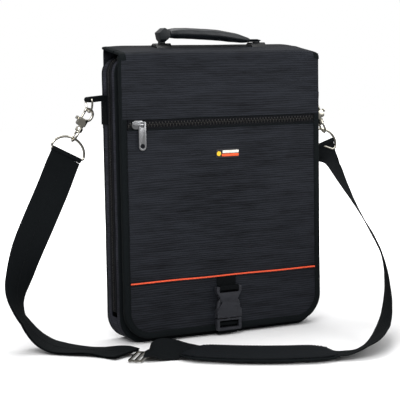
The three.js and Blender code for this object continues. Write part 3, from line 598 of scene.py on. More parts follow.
# ---------------------------------------------------------------- the shoulder strap
# A route's rows are the middle of the webbing, in millimetres, and the direction across it.
LEFT_ROUTE = [
    [(-235.6, 23, 283.4), (0.891, 0, -0.454)], [(-240.5, 23, 273.9), (0.891, 0, -0.454)],
    [(-258, 22, 236), (0.94, -0.05, -0.28)], [(-282, 20, 189), (0.96, -0.05, -0.2)],
    [(-301, 17, 152), (0.96, 0.05, -0.2)], [(-313, 18, 118), (0.93, 0.3, -0.22)],
    [(-320, 19, 90), (0.8, 0.54, -0.26)], [(-319, 17, 67), (0.62, 0.75, -0.2)],
    [(-312, 14, 47), (0.5, 0.86, -0.1)], [(-299, 11, 27), (0.6, 0.8, -0.03)],
    [(-285, 2, 13), (0.68, 0.73, 0.02)], [(-270, -12, 6), (0.66, 0.74, 0.08)],
    [(-254, -29, 4), (0.6, 0.8, 0.02)], [(-238, -44, 4), (0.58, 0.81, -0.05)],
    [(-224, -57, 4), (0.6, 0.8, -0.03)], [(-212, -72, 5), (0.66, 0.74, 0.08)],
    [(-204, -88, 6), (0.7, 0.7, 0.12)], [(-198, -103, 6.4), (0.68, 0.73, 0.05)],
]
HUMP_ROUTE = [
    [(-180, -121, 6.2), (0.6, 0.8, 0)], [(-173, -124.5, 8.6), (0.6, 0.8, 0.06)],
    [(-166, -127, 11), (0.55, 0.77, 0.32)], [(-157, -129, 12.4), (0.52, 0.75, 0.4)],
    [(-147, -131, 12.4), (0.53, 0.75, 0.4)], [(-138, -133.5, 11.6), (0.56, 0.75, 0.35)],
    [(-126, -139, 9.6), (0.68, 0.7, 0.2)], [(-115, -152, 8.8), (0.77, 0.63, 0.09)],
]
PAD_ROUTE = [
    [(-122, -141, 9), (0.8, 0.58, 0.08)], [(-104, -170, 10), (0.72, 0.68, 0.12)],
    [(-62, -206, 10), (0.6, 0.79, 0.14)], [(-20, -232, 10), (0.48, 0.87, 0.14)],
    [(20, -249, 10), (0.34, 0.93, 0.12)], [(56, -256, 8), (0.19, 0.98, 0.06)],
]
# The right run's webbing starts here, inside the pad, ahead of its free length.
INTO_PAD = [(48, -254, 7.5), (0.2, 0.975, 0.02)]
RIGHT_ROUTE = [
    [(65, -260, 6), (0.2, 0.97, -0.1)], [(77, -264, 8), (0.1, 0.97, -0.2)],
    [(89, -265, 11), (-0.1, 0.94, -0.33)], [(104, -261, 13), (-0.42, 0.8, -0.43)],
    [(123, -249, 16), (-0.5, 0.68, -0.53)], [(147, -228, 19), (-0.45, 0.64, -0.63)],
    [(174, -201, 29), (-0.25, 0.64, -0.73)], [(202, -170, 50), (0.06, 0.63, -0.78)],
    [(225, -136, 84), (0.34, 0.58, -0.74)], [(240, -98, 122), (0.58, 0.52, -0.62)],
    [(243, -57, 157), (0.64, 0.62, -0.46)], [(238, -30, 189), (0.66, 0.7, -0.26)],
    [(229, -10, 222), (0.76, 0.64, -0.12)], [(222, 8, 251), (0.88, 0.42, -0.16)],
    [(213.4, 23, 267.4), (0.948, 0, 0.317)], [(210, 23, 277.6), (0.948, 0, 0.317)],
]
# The folds round the strap rings' bars: each one's middle and direction, and their outer radius.
LEFT_FOLD = [(-234.1, 23, 286.4), (0.891, 0, -0.454)]
RIGHT_FOLD = [(209.0, 23, 280.7), (0.948, 0, 0.317)]
FOLD_RADIUS = 3.9


def band_frames(route, step=4.0):
    """Points on a strap's middle, each with the directions across it and out of its face."""
    middles = catmull([Vector(p) for p, _ in route], step)
    places = [p for p, _ in middles]
    frames = []
    for i, (point, where) in enumerate(middles):
        tangent = tangent_at(places, i)
        k = min(int(where), len(route) - 2)
        across = Vector(route[k][1]).lerp(Vector(route[k + 1][1]), where - k)
        across = (across - tangent * across.dot(tangent)).normalized()
        frames.append((point, across, tangent.cross(across).normalized()))
    return frames


def band(name, route, width, lift=0.0, skip=0):
    """A flat strap with fuller selvedges and a slight wave."""
    outline = []
    for s in (-1.0, -0.96, -0.9, -0.5, 0.0, 0.5, 0.9, 0.96, 1.0):
        height = WEBBING_THICK / 2 * (0.55 if abs(s) == 1.0 else 1.0)
        if 0.85 < abs(s) < 1:
            height += SELVEDGE_RISE
        outline.append((s * width / 2, height))
    profile = outline + [(a, -b) for a, b in reversed(outline)]
    sections = []
    for i, (point, across, face) in enumerate(band_frames(route)[skip:]):
        section = []
        for a, b in profile:
            sway = 0.25 * noise.noise(Vector((i * 0.35, a * 0.06, lift)))
            section.append(point + across * a + face * (b + lift + sway))
        sections.append(section)
    return smooth(loft(name, sections), 50)


def path_metres(route, lift=0.0):
    return [tuple((p + face * lift) * MM) for p, _, face in band_frames(route)]


def band_stitches(name, route, offset, lift, material, start, end=1.0):
    """A row of stitches on both faces of a strap, at an offset from its middle."""
    frames = band_frames(route)
    first, last = int(len(frames) * start), int(len(frames) * end)
    stations = []
    for side in (-1, 1):
        line = [p + a * offset + f * (lift * side) for p, a, f in frames[first:last]]
        faces = [f * side for _, _, f in frames[first:last]]
        for centre, along in even_points(line, 4.6):
            nearest = min(range(len(line)), key=lambda i: (line[i] - centre).length)
            stations.append((centre, along, faces[nearest]))
    return finish_piece(capsule_row(name, stations, 3.2, 0.3), material, "case")


def sleeve(name, middle, along):
    """The strap's fold round a ring's bar."""
    along = Vector(along).normalized()
    third = Vector((0, 1, 0))
    second = along.cross(third)
    length = WEBBING - 0.6
    inner = FOLD_RADIUS - WEBBING_THICK
    sections = []
    for place, radius in ((-0.5, FOLD_RADIUS - 0.25), (-0.48, FOLD_RADIUS), (0.48, FOLD_RADIUS),
                          (0.5, FOLD_RADIUS - 0.25), (0.5, inner), (-0.5, inner)):
        centre = Vector(middle) + along * (place * length)
        sections.append([centre + (third * c + second * s) * radius for c, s in circle(20)])
    return smooth(loft(name, sections, loop=True), 50)


def build_straps(mats):
    webbing, thread = mats["webbing"], mats["thread"]
    left = band("strap_left_run", LEFT_ROUTE, WEBBING, LAYER_LIFT)
    back = band("strap_left_second_layer", LEFT_ROUTE, WEBBING - 1.0, -LAYER_LIFT, skip=3)
    hump = band("strap_hump", HUMP_ROUTE, WEBBING)
    right = band("strap_right_run", [INTO_PAD] + RIGHT_ROUTE, WEBBING)
    left_fold = sleeve("strap_left_fold", *LEFT_FOLD)
    right_fold = sleeve("strap_right_fold", *RIGHT_FOLD)
    for piece, nodes in ((left, ["strap_left"]), (back, ["strap_left_return"]), (hump, ["strap_middle"]),
                         (right, ["strap_right"]), (left_fold, []), (right_fold, [])):
        finish_piece(piece, webbing, "case", nodes)
    seam = band_stitches("strap_left_seam", LEFT_ROUTE, 0.0, 1.95, thread, 0.04)
    left_box = band_stitches("strap_left_box", LEFT_ROUTE, 20.0, 1.95, thread, 0.02, 0.14)
    right_box = band_stitches("strap_right_box", RIGHT_ROUTE, 18.0, 0.85, thread, 0.9, 0.985)
    left_path = path_metres(LEFT_ROUTE, LAYER_LIFT)
    right_path = path_metres(RIGHT_ROUTE)[::-1]


def pad_section(point, across, face, half, thick):
    """A soft oblong section: full in the middle and thin at both seams."""
    section = []
    for c, s in circle(24):
        wide = math.copysign(abs(c) ** 0.55, c) * half
        tall = math.copysign(abs(s) ** 0.75, s) * thick / 2
        section.append(point + across * wide + face * tall)
    return section


def swell(obj):
    """Puffs a closed cloth skin up by simulation, with no point moved further than PAD_SWELL."""
    remesh = obj.modifiers.new("remesh", "REMESH")
    remesh.mode = "VOXEL"
    remesh.voxel_size = PAD_VOXEL
    apply_modifiers(obj)
    rest = np.array([v.co for v in obj.data.vertices])
    cloth = obj.modifiers.new("cloth", "CLOTH")
    cloth.settings.use_pressure = True
    cloth.settings.uniform_pressure_force = PAD_PRESSURE
    cloth.settings.quality = 5
    cloth.settings.effector_weights.gravity = 0
    cloth.point_cache.frame_start = 1
    cloth.point_cache.frame_end = PAD_FRAMES
    for frame in range(1, PAD_FRAMES + 1):
        bpy.context.scene.frame_set(frame)
    apply_modifiers(obj)
    bpy.context.scene.frame_set(1)
    step = np.array([v.co for v in obj.data.vertices]) - rest
    size = np.linalg.norm(step, axis=1, keepdims=True)
    kept = rest + step * np.minimum(1, PAD_SWELL / np.maximum(size, 1e-9))
    kept[:, 2] = np.maximum(kept[:, 2], PAD_LOWEST)
    obj.data.vertices.foreach_set("co", kept.astype(np.float32).ravel())
    smoothing = obj.modifiers.new("soften", "SUBSURF")
    smoothing.levels = 1
    smoothing.render_levels = 1
    apply_modifiers(obj)


def build_pad(mats):
    frames = band_frames(PAD_ROUTE, 3.0)
    sections, outline = [], []
    for i, (point, across, face) in enumerate(frames):
        t = i / (len(frames) - 1)
        end = min(1.0, 7 * min(t + 0.012, 1 - t + 0.012)) ** 0.5
        half = (PAD_WIDE / 2 - 1) * (0.5 + 0.5 * end)
        outline.append((point, across, face, half))
        sections.append(pad_section(point, across, face, half, (PAD_THICK - 2) * (0.6 + 0.4 * end)))
    pad = smooth(loft("shoulder_cushion", sections), 80)
    swell(pad)
    smooth(pad, 80)
    finish_piece(pad, mats["pad"], "shoulder_pad", ["shoulder_pad"])
    upward = frames[3][2]
    for side, name in ((-1, "near"), (1, "far")):
        line = [p + a * (side * (half - 4.5)) + f * (PAD_THICK / 2 - 1.7) for p, a, f, half in outline[5:-5]]
        stitches(f"pad_seam_{name}", line, upward, "shoulder_pad", mats["thread"], 4.6, 3.4, 0.35)
        edge = [p + a * (side * (half - 0.9)) for p, a, _, half in outline[2:-2]]
        roll = tube(f"pad_edge_{name}", edge, 1.5, 8)
        finish_piece(roll, mats["binding"], "shoulder_pad")


def tube(name, points, radius, sides):
    """A round rod along a line of vectors."""
    sections = []
    for i, point in enumerate(points):
        tangent = tangent_at(points, i)
        across = tangent.cross(Vector((0, 0, 1))).normalized()
        up = across.cross(tangent)
        sections.append([point + across * (radius * c) + up * (radius * s) for c, s in circle(sides)])
    return smooth(loft(name, sections), 60)


# ---------------------------------------------------------------- the body of the case
def build_body(mats):
    ring = body_outline()
    rear = sweep("rear_gusset_cloth", ring, bulged(*REAR_GUSSET_YS, 1.0), wave=0.5)
    finish_piece(smooth(rear), mats["side"], "case", ["rear_gusset"])
    front = sweep("front_gusset_cloth", ring, bulged(*FRONT_GUSSET_YS, 0.8), wave=0.4)
    finish_piece(smooth(front), mats["side"], "case", ["front_gusset"])
    for name, depths in (("rear_binding", REAR_BINDING_YS), ("front_binding", FRONT_BINDING_YS)):
        edge = sweep(f"{name}_tape", ring, binding_profile(*depths), wave=0.25)
        finish_piece(smooth(edge, 50), mats["binding"], "case", [name])
    bottom_path = order_by_angle([(p, n) for p, n in ring if p[1] < ZIP_LOW])
    floor_profile = rounded_profile((-1.5, -2.5), (0.0, 16.5), 0.5)
    floor = sweep("bottom_gusset_cloth", bottom_path, floor_profile, loop=False)
    finish_piece(smooth(floor), mats["side"], "case", ["bottom_gusset"])
    for name, y, out in (("back_panel", BACK_CLOTH_Y, 1), ("front_panel", FRONT_CLOTH_Y, -1)):
        sheet = face_panel(f"{name}_cloth", 2.2, 0, BODY_HIGH, CORNER_LOW, CORNER_HIGH, y, out, 0.7)
        finish_piece(sheet, mats["front"], "case", [name])


def order_by_angle(path):
    """Orders an open bottom path from its left top, under the case, to its right top."""
    left = [q for q in path if q[0][0] < 0]
    right = [q for q in path if q[0][0] >= 0]
    left.sort(key=lambda q: (-q[0][1], q[0][0]))
    right.sort(key=lambda q: (q[0][1], q[0][0]))
    return left + right


def bulged(y0, y1, swell_by):
    """A gusset's section between two depths, fuller in the middle."""
    steps = 7
    outer = []
    for i in range(steps):
        t = i / (steps - 1)
        outer.append((-0.4 + swell_by * math.sin(math.pi * t), y0 + (y1 - y0) * t))
    return outer + [(-1.6, y1), (-1.6, y0)]


def binding_profile(low, high):
    """Tape folded over an edge, as a soft rounded bead with flat flanks."""
    return rounded_profile((-9.2, low), (0.8, high), min(1.4, (high - low) / 2 - 0.1), 4)


def edge_z(x, inset, low, high, corner_low, corner_high):
    """The lowest and highest z of a rounded rectangle at one x."""
    reach = HALF - inset
    out = []
    levels = ((low + inset, corner_low - inset, 1), (high - inset, corner_high - inset, -1))
    for level, corner, sign in levels:
        depth = abs(x) - (reach - corner)
        if corner > 0 and depth > 0:
            level += sign * (corner - math.sqrt(max(corner * corner - depth * depth, 0)))
        out.append(level)
    return out


def face_panel(name, inset, low, high, corner_low, corner_high, y, out, puff, z_low=None, z_high=None):
    """A cloth panel in a rounded outline. It looks along y, by out, and puffs a little in the middle."""
    columns, rows, thick = 60, 64, 1.0
    reach = HALF - inset
    grid = []
    for i in range(columns + 1):
        x = -reach * math.cos(math.pi * (i / columns)) * 0.5 + (-reach + 2 * reach * i / columns) * 0.5
        bottom, top = edge_z(x, inset, low, high, corner_low, corner_high)
        bottom = max(bottom, z_low) if z_low is not None else bottom
        top = min(top, z_high) if z_high is not None else top
        grid.append([(x, bottom + (top - bottom) * k / rows) for k in range(rows + 1)])
    verts, faces = [], []
    for side in (1, 0):
        for column in grid:
            for x, z in column:
                edge = min(1.0, (reach - abs(x)) / 25)
                waves = 0.3 * noise.noise(Vector((x * 0.011, z * 0.02, 3)))
                waves += 0.12 * noise.noise(Vector((x * 0.04, z * 0.09, 7)))
                soft = puff * max(edge, 0) ** 0.5 + waves
                verts.append((x, y + out * (soft + side * thick - thick), z))
    count = rows + 1
    layer = (columns + 1) * count
    for i in range(columns):
        for k in range(rows):
            a, b = i * count + k, (i + 1) * count + k
            c, d = b + 1, a + 1
            faces.append((a, b, c, d))
            faces.append((layer + d, layer + c, layer + b, layer + a))
    rim = [i * count for i in range(columns + 1)]
    rim += [columns * count + k for k in range(1, count)]
    rim += [i * count + rows for i in range(columns - 1, -1, -1)]
    rim += [k for k in range(rows - 1, 0, -1)]
    for a, b in zip(rim, rim[1:] + rim[:1]):
        faces.append((b, a, layer + a, layer + b))
    return smooth(face_outward(new_object(name, verts, faces)), 50)


# ---------------------------------------------------------------- zips
def zip_teeth(name, points, side, face, pitch, reach, radius, length):
    """Two rows of interlocking teeth along a line. side points across the zip, and face out of it."""
    across = Vector(side)
    stations = []
    for i, (centre, along) in enumerate(even_points(points, pitch)):
        shift = reach if i % 2 else -reach
        normal = face(along) if callable(face) else Vector(face)
        stations.append((centre + across * shift, across, normal))
    return capsule_row(name, stations, length, radius)


def body_zip_line():
    """The line of the main zip: up the left side, over the top and down the right side, in millimetres."""
    ring = [(p, n) for p, n in body_outline(4.0) if p[1] >= ZIP_LOW - 2]
    start = next(i for i, (p, _) in enumerate(ring) if p[0] < 0)
    return ring[start:] + ring[:start]


def build_body_zip(mats):
    ring = body_zip_line()
    tape = sweep("case_zip_tape", ring, zip_tape_profile(), loop=False)
    finish_piece(smooth(tape, 50), mats["tape"], "case", ["case_zip"])
    line = [Vector((p[0] + n[0] * 0.4, ZIP_Y, p[1] + n[1] * 0.4)) for p, n in ring]
    coil = zip_teeth("case_zip_teeth", line, (0, 1, 0), out_of_body_zip, 1.9, 0.7, 0.62, 3.6)
    finish_piece(coil, mats["coil"], "case")
    for name, y in ZIP_SEAM_YS:
        seam = [Vector((p[0] + n[0] * 0.35, y, p[1] + n[1] * 0.35)) for p, n in ring]
        stitches(f"case_zip_seam_{name}", seam, sideways, "case", mats["thread"], 4.0, 2.8, 0.26)


def out_of_body_zip(along):
    return along.cross(Vector((0, 1, 0)))


def sideways(centre):
    return Vector((centre.x, 0, 0))


def zip_tape_profile():
    """The main zip's tape: two lips of cloth with the coil's channel between them."""
    return [
        (0.2, 16.5), (0.9, 15.6), (0.8, 13.0), (0.2, 10.4), (-0.5, 9.8), (-0.5, 4.2), (0.2, 3.6), (0.8, 1.0),
        (0.9, -1.6), (0.2, -2.5), (-1.2, -2.5), (-1.2, 16.5),
    ]


def build_pocket_zip(mats):
    low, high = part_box("pocket_zip")
    xs = np.linspace(low.x / MM, high.x / MM, 80)
    half = POCKET_ZIP_HALF
    front = [(-33.0, -half), (-32.9, -5), (-33.3, -3.4), (-33.3, 3.4), (-32.9, 5), (-33.0, half)]
    profile = front + [(-32.0, half), (-32.0, -half)]
    tape = loft("pocket_zip_tape", [[(x, y, POCKET_ZIP_Z + up) for y, up in profile] for x in xs])
    finish_piece(tape, mats["tape"], "cover", ["pocket_zip"])
    line = [Vector((x, -34.0, POCKET_ZIP_Z)) for x in xs]
    coil = zip_teeth("pocket_zip_teeth", line, (0, 0, 1), (0, -1, 0), 2.6, 1.5, 0.95, 5.2)
    finish_piece(coil, mats["coil"], "cover")
    for name, offset in (("lower", -half), ("upper", half)):
        lip = []
        for x in xs:
            sway = 0.15 * noise.noise(Vector((x * 0.05, offset, 0)))
            lip.append(Vector((x, -33.5 + sway, POCKET_ZIP_Z + offset)))
        roll = tube(f"pocket_lip_{name}", lip, 1.15, 10)
        finish_piece(roll, mats["binding"], "cover")
        seam = [p + Vector((0, -0.1, math.copysign(3.4, offset))) for p in lip]
        stitches(f"pocket_seam_{name}", seam, (0, -1, 0), "cover", mats["thread"])


# ---------------------------------------------------------------- hard parts
def rounded_copy(node, body, material, width, segments=2):
    """Replaces a CAD part with a copy whose sharp edges are rounded off, by a width in millimetres."""
    mesh = bpy.data.objects[node].data.copy()
    piece = bpy.data.objects.new(f"{node}_finished", mesh)
    bpy.context.scene.collection.objects.link(piece)
    bm = bmesh.new()
    bm.from_mesh(mesh)
    bmesh.ops.remove_doubles(bm, verts=bm.verts, dist=1e-6)
    bmesh.ops.dissolve_limit(bm, angle_limit=math.radians(1.5), verts=bm.verts, edges=bm.edges)
    bm.to_mesh(mesh)
    bm.free()
    if width:
        bevel = piece.modifiers.new("bevel", "BEVEL")
        bevel.width = width * MM
        bevel.segments = segments
        bevel.limit_method = "ANGLE"
        bevel.angle_limit = math.radians(35)
        bevel.use_clamp_overlap = True
        apply_modifiers(piece)
    smooth(piece, 42)
    finish_piece(piece, material, body, [node])


def build_hardware(mats):
    parts = (("tab_ring", 0), ("hook", 0.35), ("hook_bolt", 0.3), ("swivel", 0.25), ("strap_ring", 0))
    for side in ("left", "right"):
        for part, width in parts:
            node = f"{part}_{side}"
            rounded_copy(node, node, mats["nickel"], width)
        rounded_copy(f"side_tab_{side}", "case", mats["webbing"], 0.35)
    sliding = (
        ("right_zip_slider", "zinc", "zip_metal", 0.25), ("right_zip_pull", "zinc", "zip_metal", 0.25),
        ("strap_slider", "nickel", "nickel", 0.5), ("pocket_slider", "zinc", "zip_metal", 0.5),
        ("pocket_pull", "zinc", "zip_metal", 0.45),
    )
    for node, finish, slot, width in sliding:
        rounded_copy(node, node, mats[finish], width)


def build_buckle(mats):
    plastic, webbing = mats["plastic"], mats["webbing"]
    rounded_copy("buckle_socket", "cover", plastic, 0.9, 3)
    rounded_copy("buckle_insert", "buckle_insert", plastic, 0.8, 3)
    for node in ("buckle_prong_left", "buckle_prong_right"):
        rounded_copy(node, node, plastic, 0.6)
    rounded_copy("buckle_webbing", "cover", webbing, 0.3)
    rounded_copy("buckle_lower_webbing", "case", webbing, 0.3)


def build_label(mats):
    """A plain dark patch with a dot and two bars."""
    low, high = (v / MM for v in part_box("label_patch"))
    middle = (low.z + high.z) / 2
    base = plate("label_base", low.x, high.x, low.z, high.z, -33.6, -34.3, 3.0)
    finish_piece(base, mats["patch"], "cover", ["label_patch"])
    marks = (
        ("label_dot", "patch_yellow", low.x + 1.2, low.x + 8.4, -3.6, 3.6, 3.5),
        ("label_bar", "patch_orange", low.x + 9.6, high.x - 1.2, -4.4, -0.4, 1.0),
        ("label_stripe", "patch_pale", low.x + 11, high.x - 1.2, 0.6, 4.6, 1.0),
    )
    for name, color, x0, x1, down, up, radius in marks:
        mark = plate(name, x0, x1, middle + down, middle + up, -34.2, -34.7, radius)
        finish_piece(mark, mats[color], "cover")


def plate(name, x0, x1, z0, z1, back, front, radius):
    """A thin plate with rounded corners and a soft front edge."""
    radius = min(radius, (x1 - x0) / 2 - 0.05, (z1 - z0) / 2 - 0.05)
    points = rounded_profile((x0, z0), (x1, z1), radius, 5)
    cx, cz = (x0 + x1) / 2, (z0 + z1) / 2
    sections = []
    for y, inset in ((back, 0.0), (front + 0.2, 0.0), (front, 0.25)):
        sections.append([(drawn_in(x, cx, inset), y, drawn_in(z, cz, inset)) for x, z in points])
    return smooth(loft(name, sections), 50)


def drawn_in(value, centre, inset):
    """A coordinate moved towards a centre, and never past it."""
    return value - math.copysign(min(inset, abs(value - centre)), value - centre)


# ---------------------------------------------------------------- the flap
def cover_profile():
    """The underside of the flap's cloth, from its rear edge, over the top, to above the pocket zip."""
    rows = [
        (34.9, 404), (35.0, 424), (34.9, 434), (34.0, 440.5), (30.5, 444.1), (24, 443.6), (12, 441.4),
        (-2, 439.1), (-16, 436.9), (-26, 435.2), (-31.4, 433.2), (-33.9, 428.6), (-34.1, 420),
        (-33.8, 400), (-33.7, 370), (-33.6, POCKET_ZIP_Z + POCKET_ZIP_HALF),
    ]
    return [p for p, _ in catmull([Vector((0, y, z)) for y, z in rows], 3.0)]


def corner_droop(x, z):
    """How far the soft top sinks near its two ends, and more at the right-hand one."""
    reach = max(0.0, (abs(x) - DROOP_FROM_X) / (HALF - DROOP_FROM_X))
    height = min(1.0, max(0.0, (z - DROOP_FROM_Z) / DROOP_RISE))
    return (DROOP_RIGHT if x > 0 else DROOP_LEFT) * reach ** 2 * height


def strip_sheet(name, line, reach):
    """A cloth sheet straight across the case. Its underside follows a line, and its thickness is outside."""
    columns = 70
    inward = [Vector((1, 0, 0)).cross(tangent_at(line, i)).normalized() for i in range(len(line))]
    sections = []
    for c in range(columns + 1):
        x = -reach + 2 * reach * c / columns
        under, over = [], []
        for p, n in zip(line, inward):
            sway = 0.5 * noise.noise(Vector((x * 0.012, p.y * 0.03, p.z * 0.025)))
            place = Vector((x, p.y, p.z - corner_droop(x, p.z)))
            under.append(place + n * sway)
            over.append(place + n * (sway - CLOTH_THICK))
        sections.append(under + over[::-1])
    return smooth(loft(name, sections), 60)


def build_cover_cloth(mats):
    line = cover_profile()
    middle = min(range(len(line)), key=lambda i: abs(line[i].y) if line[i].z > 430 else 999)
    rear = strip_sheet("flap_rear_cloth", line[: middle + 1], 166)
    front = strip_sheet("flap_upper_cloth", line[middle:], 168)
    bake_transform(rear)
    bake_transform(front)
    # The rear strip and spine take the top's darker cloth, which carries painted shade.
    finish_piece(rear, mats["top"], None, ["flap_rear_strip", "spine_panel"])
    finish_piece(front, mats["front"], None, ["upper_panel"])
    outline = (1.5, FLAP_LOW, NO_TOP_CORNERS, FLAP_CORNER, 0)
    pocket_low, pocket_high = PIPING_Z + 0.3, POCKET_ZIP_Z - POCKET_ZIP_HALF
    for name, node, z_low, z_high in (("pocket_cloth", "pocket_panel", pocket_low, pocket_high),
                                      ("lower_cloth", "lower_panel", None, PIPING_Z)):
        panel = face_panel(name, *outline, FLAP_FACE_Y, -1, 0.5, z_low, z_high)
        finish_piece(panel, mats["front"], "cover", [node])


def build_flap_binding(mats):
    path = flap_outline()
    profile = [
        (-9.8, -34.0), (-9.3, -34.55), (-5.0, -34.7), (-1.6, -34.6), (-0.3, -33.8), (0.3, -32.0),
        (0.35, -29.6), (0.2, -27.0), (-0.6, -25.5), (-2.0, -24.9), (-9.6, -24.8), (-9.8, -25.6),
        (-2.4, -26.0), (-1.2, -27.4), (-1.2, -32.2), (-2.4, -33.6),
    ]
    edge = sweep("flap_binding_tape", path, profile, loop=False, wave=0.3)
    finish_piece(smooth(edge, 60), mats["binding"], "cover", ["flap_binding"])
    inset = FLAP_SEAM_INSET
    for name, y, out in (("front", -34.75, -1), ("inner", -24.75, 1)):
        line = [Vector((p[0] - n[0] * inset, y, p[1] - n[1] * inset)) for p, n in path]
        stitches(f"flap_seam_{name}", line, (0, out, 0), "cover", mats["thread"])


def build_spine_binding(mats):
    """Tape over both ends of the top: a part that rides on the spine, and one shaped over the front fold."""
    line = cover_profile()
    top = [p for p in line if p.z > 430 and p.y < 31]
    split = min(range(len(top)), key=lambda i: abs(top[i].y + 12))
    fold = [p for p in line if p.y < -11.5 and p.z > 421]
    for side, name in ((-1, "left"), (1, "right")):
        rigid = edge_tape(f"spine_tape_{name}", top[: split + 1], side)
        finish_piece(rigid, mats["binding"], "spine", [f"spine_binding_{name}"])
        soft = edge_tape(f"fold_tape_{name}", fold, side)
        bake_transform(soft)
        finish_piece(soft, mats["binding"], None)


def edge_tape(name, line, side):
    """Tape folded over the cloth's edge, along the section of the top."""
    profile = [
        (-10.2, -1.6), (-9.2, 0.1), (-4.0, 0.6), (-0.8, 0.5), (0.6, -0.3), (0.8, -1.6), (0.4, -3.0),
        (-1.0, -3.8), (-9.4, -3.8), (-9.6, -3.1), (-2.0, -2.9), (-0.8, -1.6), (-1.6, -0.6), (-9.6, -2.2),
    ]
    sections = []
    for i, p in enumerate(line):
        outward = tangent_at(line, i).cross(Vector((1, 0, 0))).normalized()
        section = []
        for out, up in profile:
            x = side * (HALF - 0.6 + out)
            section.append(Vector((x, p.y, p.z - corner_droop(x, p.z))) + outward * (up + CLOTH_THICK))
        sections.append(section)
    return smooth(loft(name, sections), 60)


def build_piping(mats):
    low, high = (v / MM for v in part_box("orange_piping"))
    xs = np.linspace(low.x, high.x, 120)
    points = [Vector((x, -34.5, PIPING_Z + 0.25 * math.sin(x * 0.05) + 0.15)) for x in xs]
    roll = tube("orange_piping_cord", points, 1.25, 12)
    finish_piece(roll, mats["piping"], "cover", ["orange_piping"])
    for name, offset in (("upper", 3.2), ("lower", -3.2)):
        seam = [Vector((p.x, -33.75, PIPING_Z + offset)) for p in points]
        stitches(f"piping_seam_{name}", seam, (0, -1, 0), "cover", mats["thread"])


# ---------------------------------------------------------------- the handle
# The grip's middle line and half sizes: x, z, half width, half height.
GRIP = [
    (-69, 462.6, 10, 6.6), (-58, 462.9, 12.8, 8), (-36, 462.6, 13.2, 8.4), (8, 460, 13.2, 8.4),
    (28, 457.8, 12.8, 8), (48, 455, 11.6, 7), (60, 453, 9, 5.4), (70.4, 451.5, 5.2, 3.2),
]


def grip_section(point, wide, tall, sides):
    """A round section of the grip, with two creases, a ridge and soft lumps in its leather."""
    section = []
    for c, s in circle(sides):
        crease = 0.10 * math.exp(-((s - 0.25) ** 2) / 0.006) + 0.05 * math.exp(-((s + 0.6) ** 2) / 0.01)
        lump = 0.35 * noise.noise(Vector((point.x * 0.07, c * 1.6, s * 1.6)))
        ridge = 1 + 0.035 * math.exp(-((s - 0.55) ** 2) / 0.02)
        y = HANDLE_Y + (wide + lump) * c * (ridge - crease)
        section.append((point.x, y, point.z + (tall + lump) * s * ridge))
    return section


def build_handle(mats):
    sides = 32
    sections = []
    for point, place in catmull([Vector((x, HANDLE_Y, z)) for x, z, _, _ in GRIP], 2.5):
        k = min(int(place), len(GRIP) - 2)
        share = place - k
        wide, tall = (GRIP[k][i] * (1 - share) + GRIP[k + 1][i] * share for i in (2, 3))
        sections.append(grip_section(point, wide, tall, sides))
    grip = smooth(loft("handle_grip_leather", sections), 70)
    finish_piece(grip, mats["leather"], "handle", ["handle_grip"])
    for side, name, corner in ((-1, "front", sides // 2), (1, "rear", 0)):
        line = [Vector(section[corner]) + Vector((0, side * 0.05, -2.6)) for section in sections[2:-2]]
        stitches(f"handle_seam_{name}", line, (0, side, -0.3), "handle", mats["thread"], 4.4, 3.0, 0.35)
    for end in ("left", "right"):
        rounded_copy(f"handle_end_{end}", "handle", mats["leather"], 2.4, 4)
        rounded_copy(f"handle_tab_{end}", "spine", mats["leather_dark"], 0.5)


def dress_inner_parts(mats):
    """Boards and lining keep their CAD shape, with a worked material."""
    for node in ("back_board", "front_board", "flap_board"):
        paint(bpy.data.objects[node], mats["board"])
    paint(bpy.data.objects["flap_lining"], mats["lining"])


# ---------------------------------------------------------------- camera, light and floor
def build_camera():
    data = bpy.data.cameras.new("camera")
    data.sensor_width = SENSOR
    data.lens = LENS
    data.clip_end = 50
    camera = bpy.data.objects.new("camera", data)
    bpy.context.scene.collection.objects.link(camera)
    turn, dip, roll = (math.radians(angle) for angle in (CAMERA_TURN, CAMERA_DIP, CAMERA_ROLL))
    back = Vector((math.sin(turn) * math.cos(dip), -math.cos(turn) * math.cos(dip), math.sin(dip)))
    right = Vector((math.cos(turn), math.sin(turn), 0))
    up = back.cross(right)
    across = right * math.cos(roll) + up * math.sin(roll)
    upward = up * math.cos(roll) - right * math.sin(roll)
    place = Matrix((across, upward, back)).transposed().to_4x4()
    place.translation = Vector(CAMERA_PLACE)
    camera.matrix_world = place
    bpy.context.scene.camera = camera


def area_light(name, place, aim, size, power):
    data = bpy.data.lights.new(name, "AREA")
    data.shape = "DISK"
    data.size = size
    data.energy = power
    lamp = bpy.data.objects.new(name, data)
    lamp.location = place
    lamp.rotation_euler = (Vector(aim) - Vector(place)).to_track_quat("-Z", "Y").to_euler()
    bpy.context.scene.collection.objects.link(lamp)


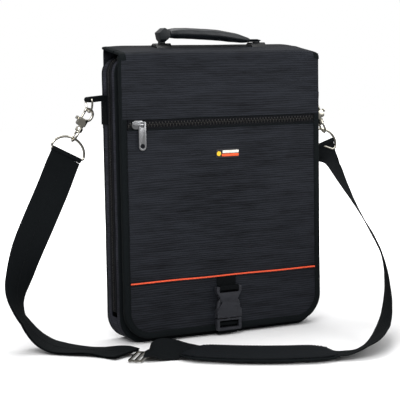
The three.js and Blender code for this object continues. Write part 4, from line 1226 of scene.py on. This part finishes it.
def light_world(tree):
    """White where the camera looks, and a grey studio with a bright ceiling for light and reflections."""
    background = tree.nodes["Background"]
    coords = tree.nodes.new("ShaderNodeTexCoord")
    split = tree.nodes.new("ShaderNodeSeparateXYZ")
    ramp = tree.nodes.new("ShaderNodeValToRGB")
    tree.links.new(coords.outputs["Generated"], split.inputs[0])
    tree.links.new(split.outputs["Z"], ramp.inputs["Fac"])
    for element, place, grey in zip(ramp.color_ramp.elements, (0.1, 0.9), (0.22, 0.9)):
        element.position = place
        element.color = (grey, grey, grey, 1)
    rays = tree.nodes.new("ShaderNodeLightPath")
    mix = tree.nodes.new("ShaderNodeMix")
    mix.data_type = "RGBA"
    tree.links.new(rays.outputs["Is Camera Ray"], mix.inputs["Factor"])
    tree.links.new(ramp.outputs["Color"], mix.inputs["A"])
    mix.inputs["B"].default_value = (1, 1, 1, 1)
    tree.links.new(mix.outputs["Result"], background.inputs["Color"])
    background.inputs["Strength"].default_value = 1.0


def floor_paper():
    """Pale paper that glows to white away from the case, so that no horizon shows."""
    n = Nodes("floor_paper")
    grain = n.noise(n.place, 3.0)
    pale, paler = linear((246, 246, 247)), linear((252, 252, 252))
    n.set(Base_Color=n.ramp(grain, [(0.2, pale), (0.8, paler)]), Roughness=0.9, Specular_IOR_Level=0.1)
    distance = n.add("ShaderNodeVectorMath", {0: n.place}, operation="LENGTH").outputs["Value"]
    glow = n.ramp(distance, [(0.42, (0, 0, 0, 1)), (0.85, (1, 1, 1, 1))])
    n.set(Emission_Color=glow, Emission_Strength=1.0)
    return n.material


def build_stage():
    far = FLOOR_REACH
    corners = [(-far, -far, 0), (far, -far, 0), (far, far, 0), (-far, far, 0)]
    floor = new_object("floor", corners, [(0, 1, 2, 3)])
    paint(floor, floor_paper())
    floor.visible_glossy = False
    world = bpy.data.worlds.new("studio")
    bpy.context.scene.world = world
    world.use_nodes = True
    light_world(world.node_tree)
    area_light("key", (-1.3, -1.8, 1.9), (0, 0, 0.2), 1.4, 34)
    area_light("fill", (1.6, -1.6, 1.2), (0, 0, 0.2), 1.6, 14)
    area_light("top", (0.1, 0.4, 2.2), (0, 0, 0.3), 1.4, 20)
    bpy.context.scene.view_settings.view_transform = "Standard"


def main():
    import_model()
    mats = make_materials()
    build_camera()
    build_straps(mats)
    build_pad(mats)
    build_body(mats)
    build_body_zip(mats)
    build_cover_cloth(mats)
    build_flap_binding(mats)
    build_spine_binding(mats)
    build_pocket_zip(mats)
    build_piping(mats)
    build_label(mats)
    build_handle(mats)
    build_buckle(mats)
    build_hardware(mats)
    dress_inner_parts(mats)
    build_stage()


main()
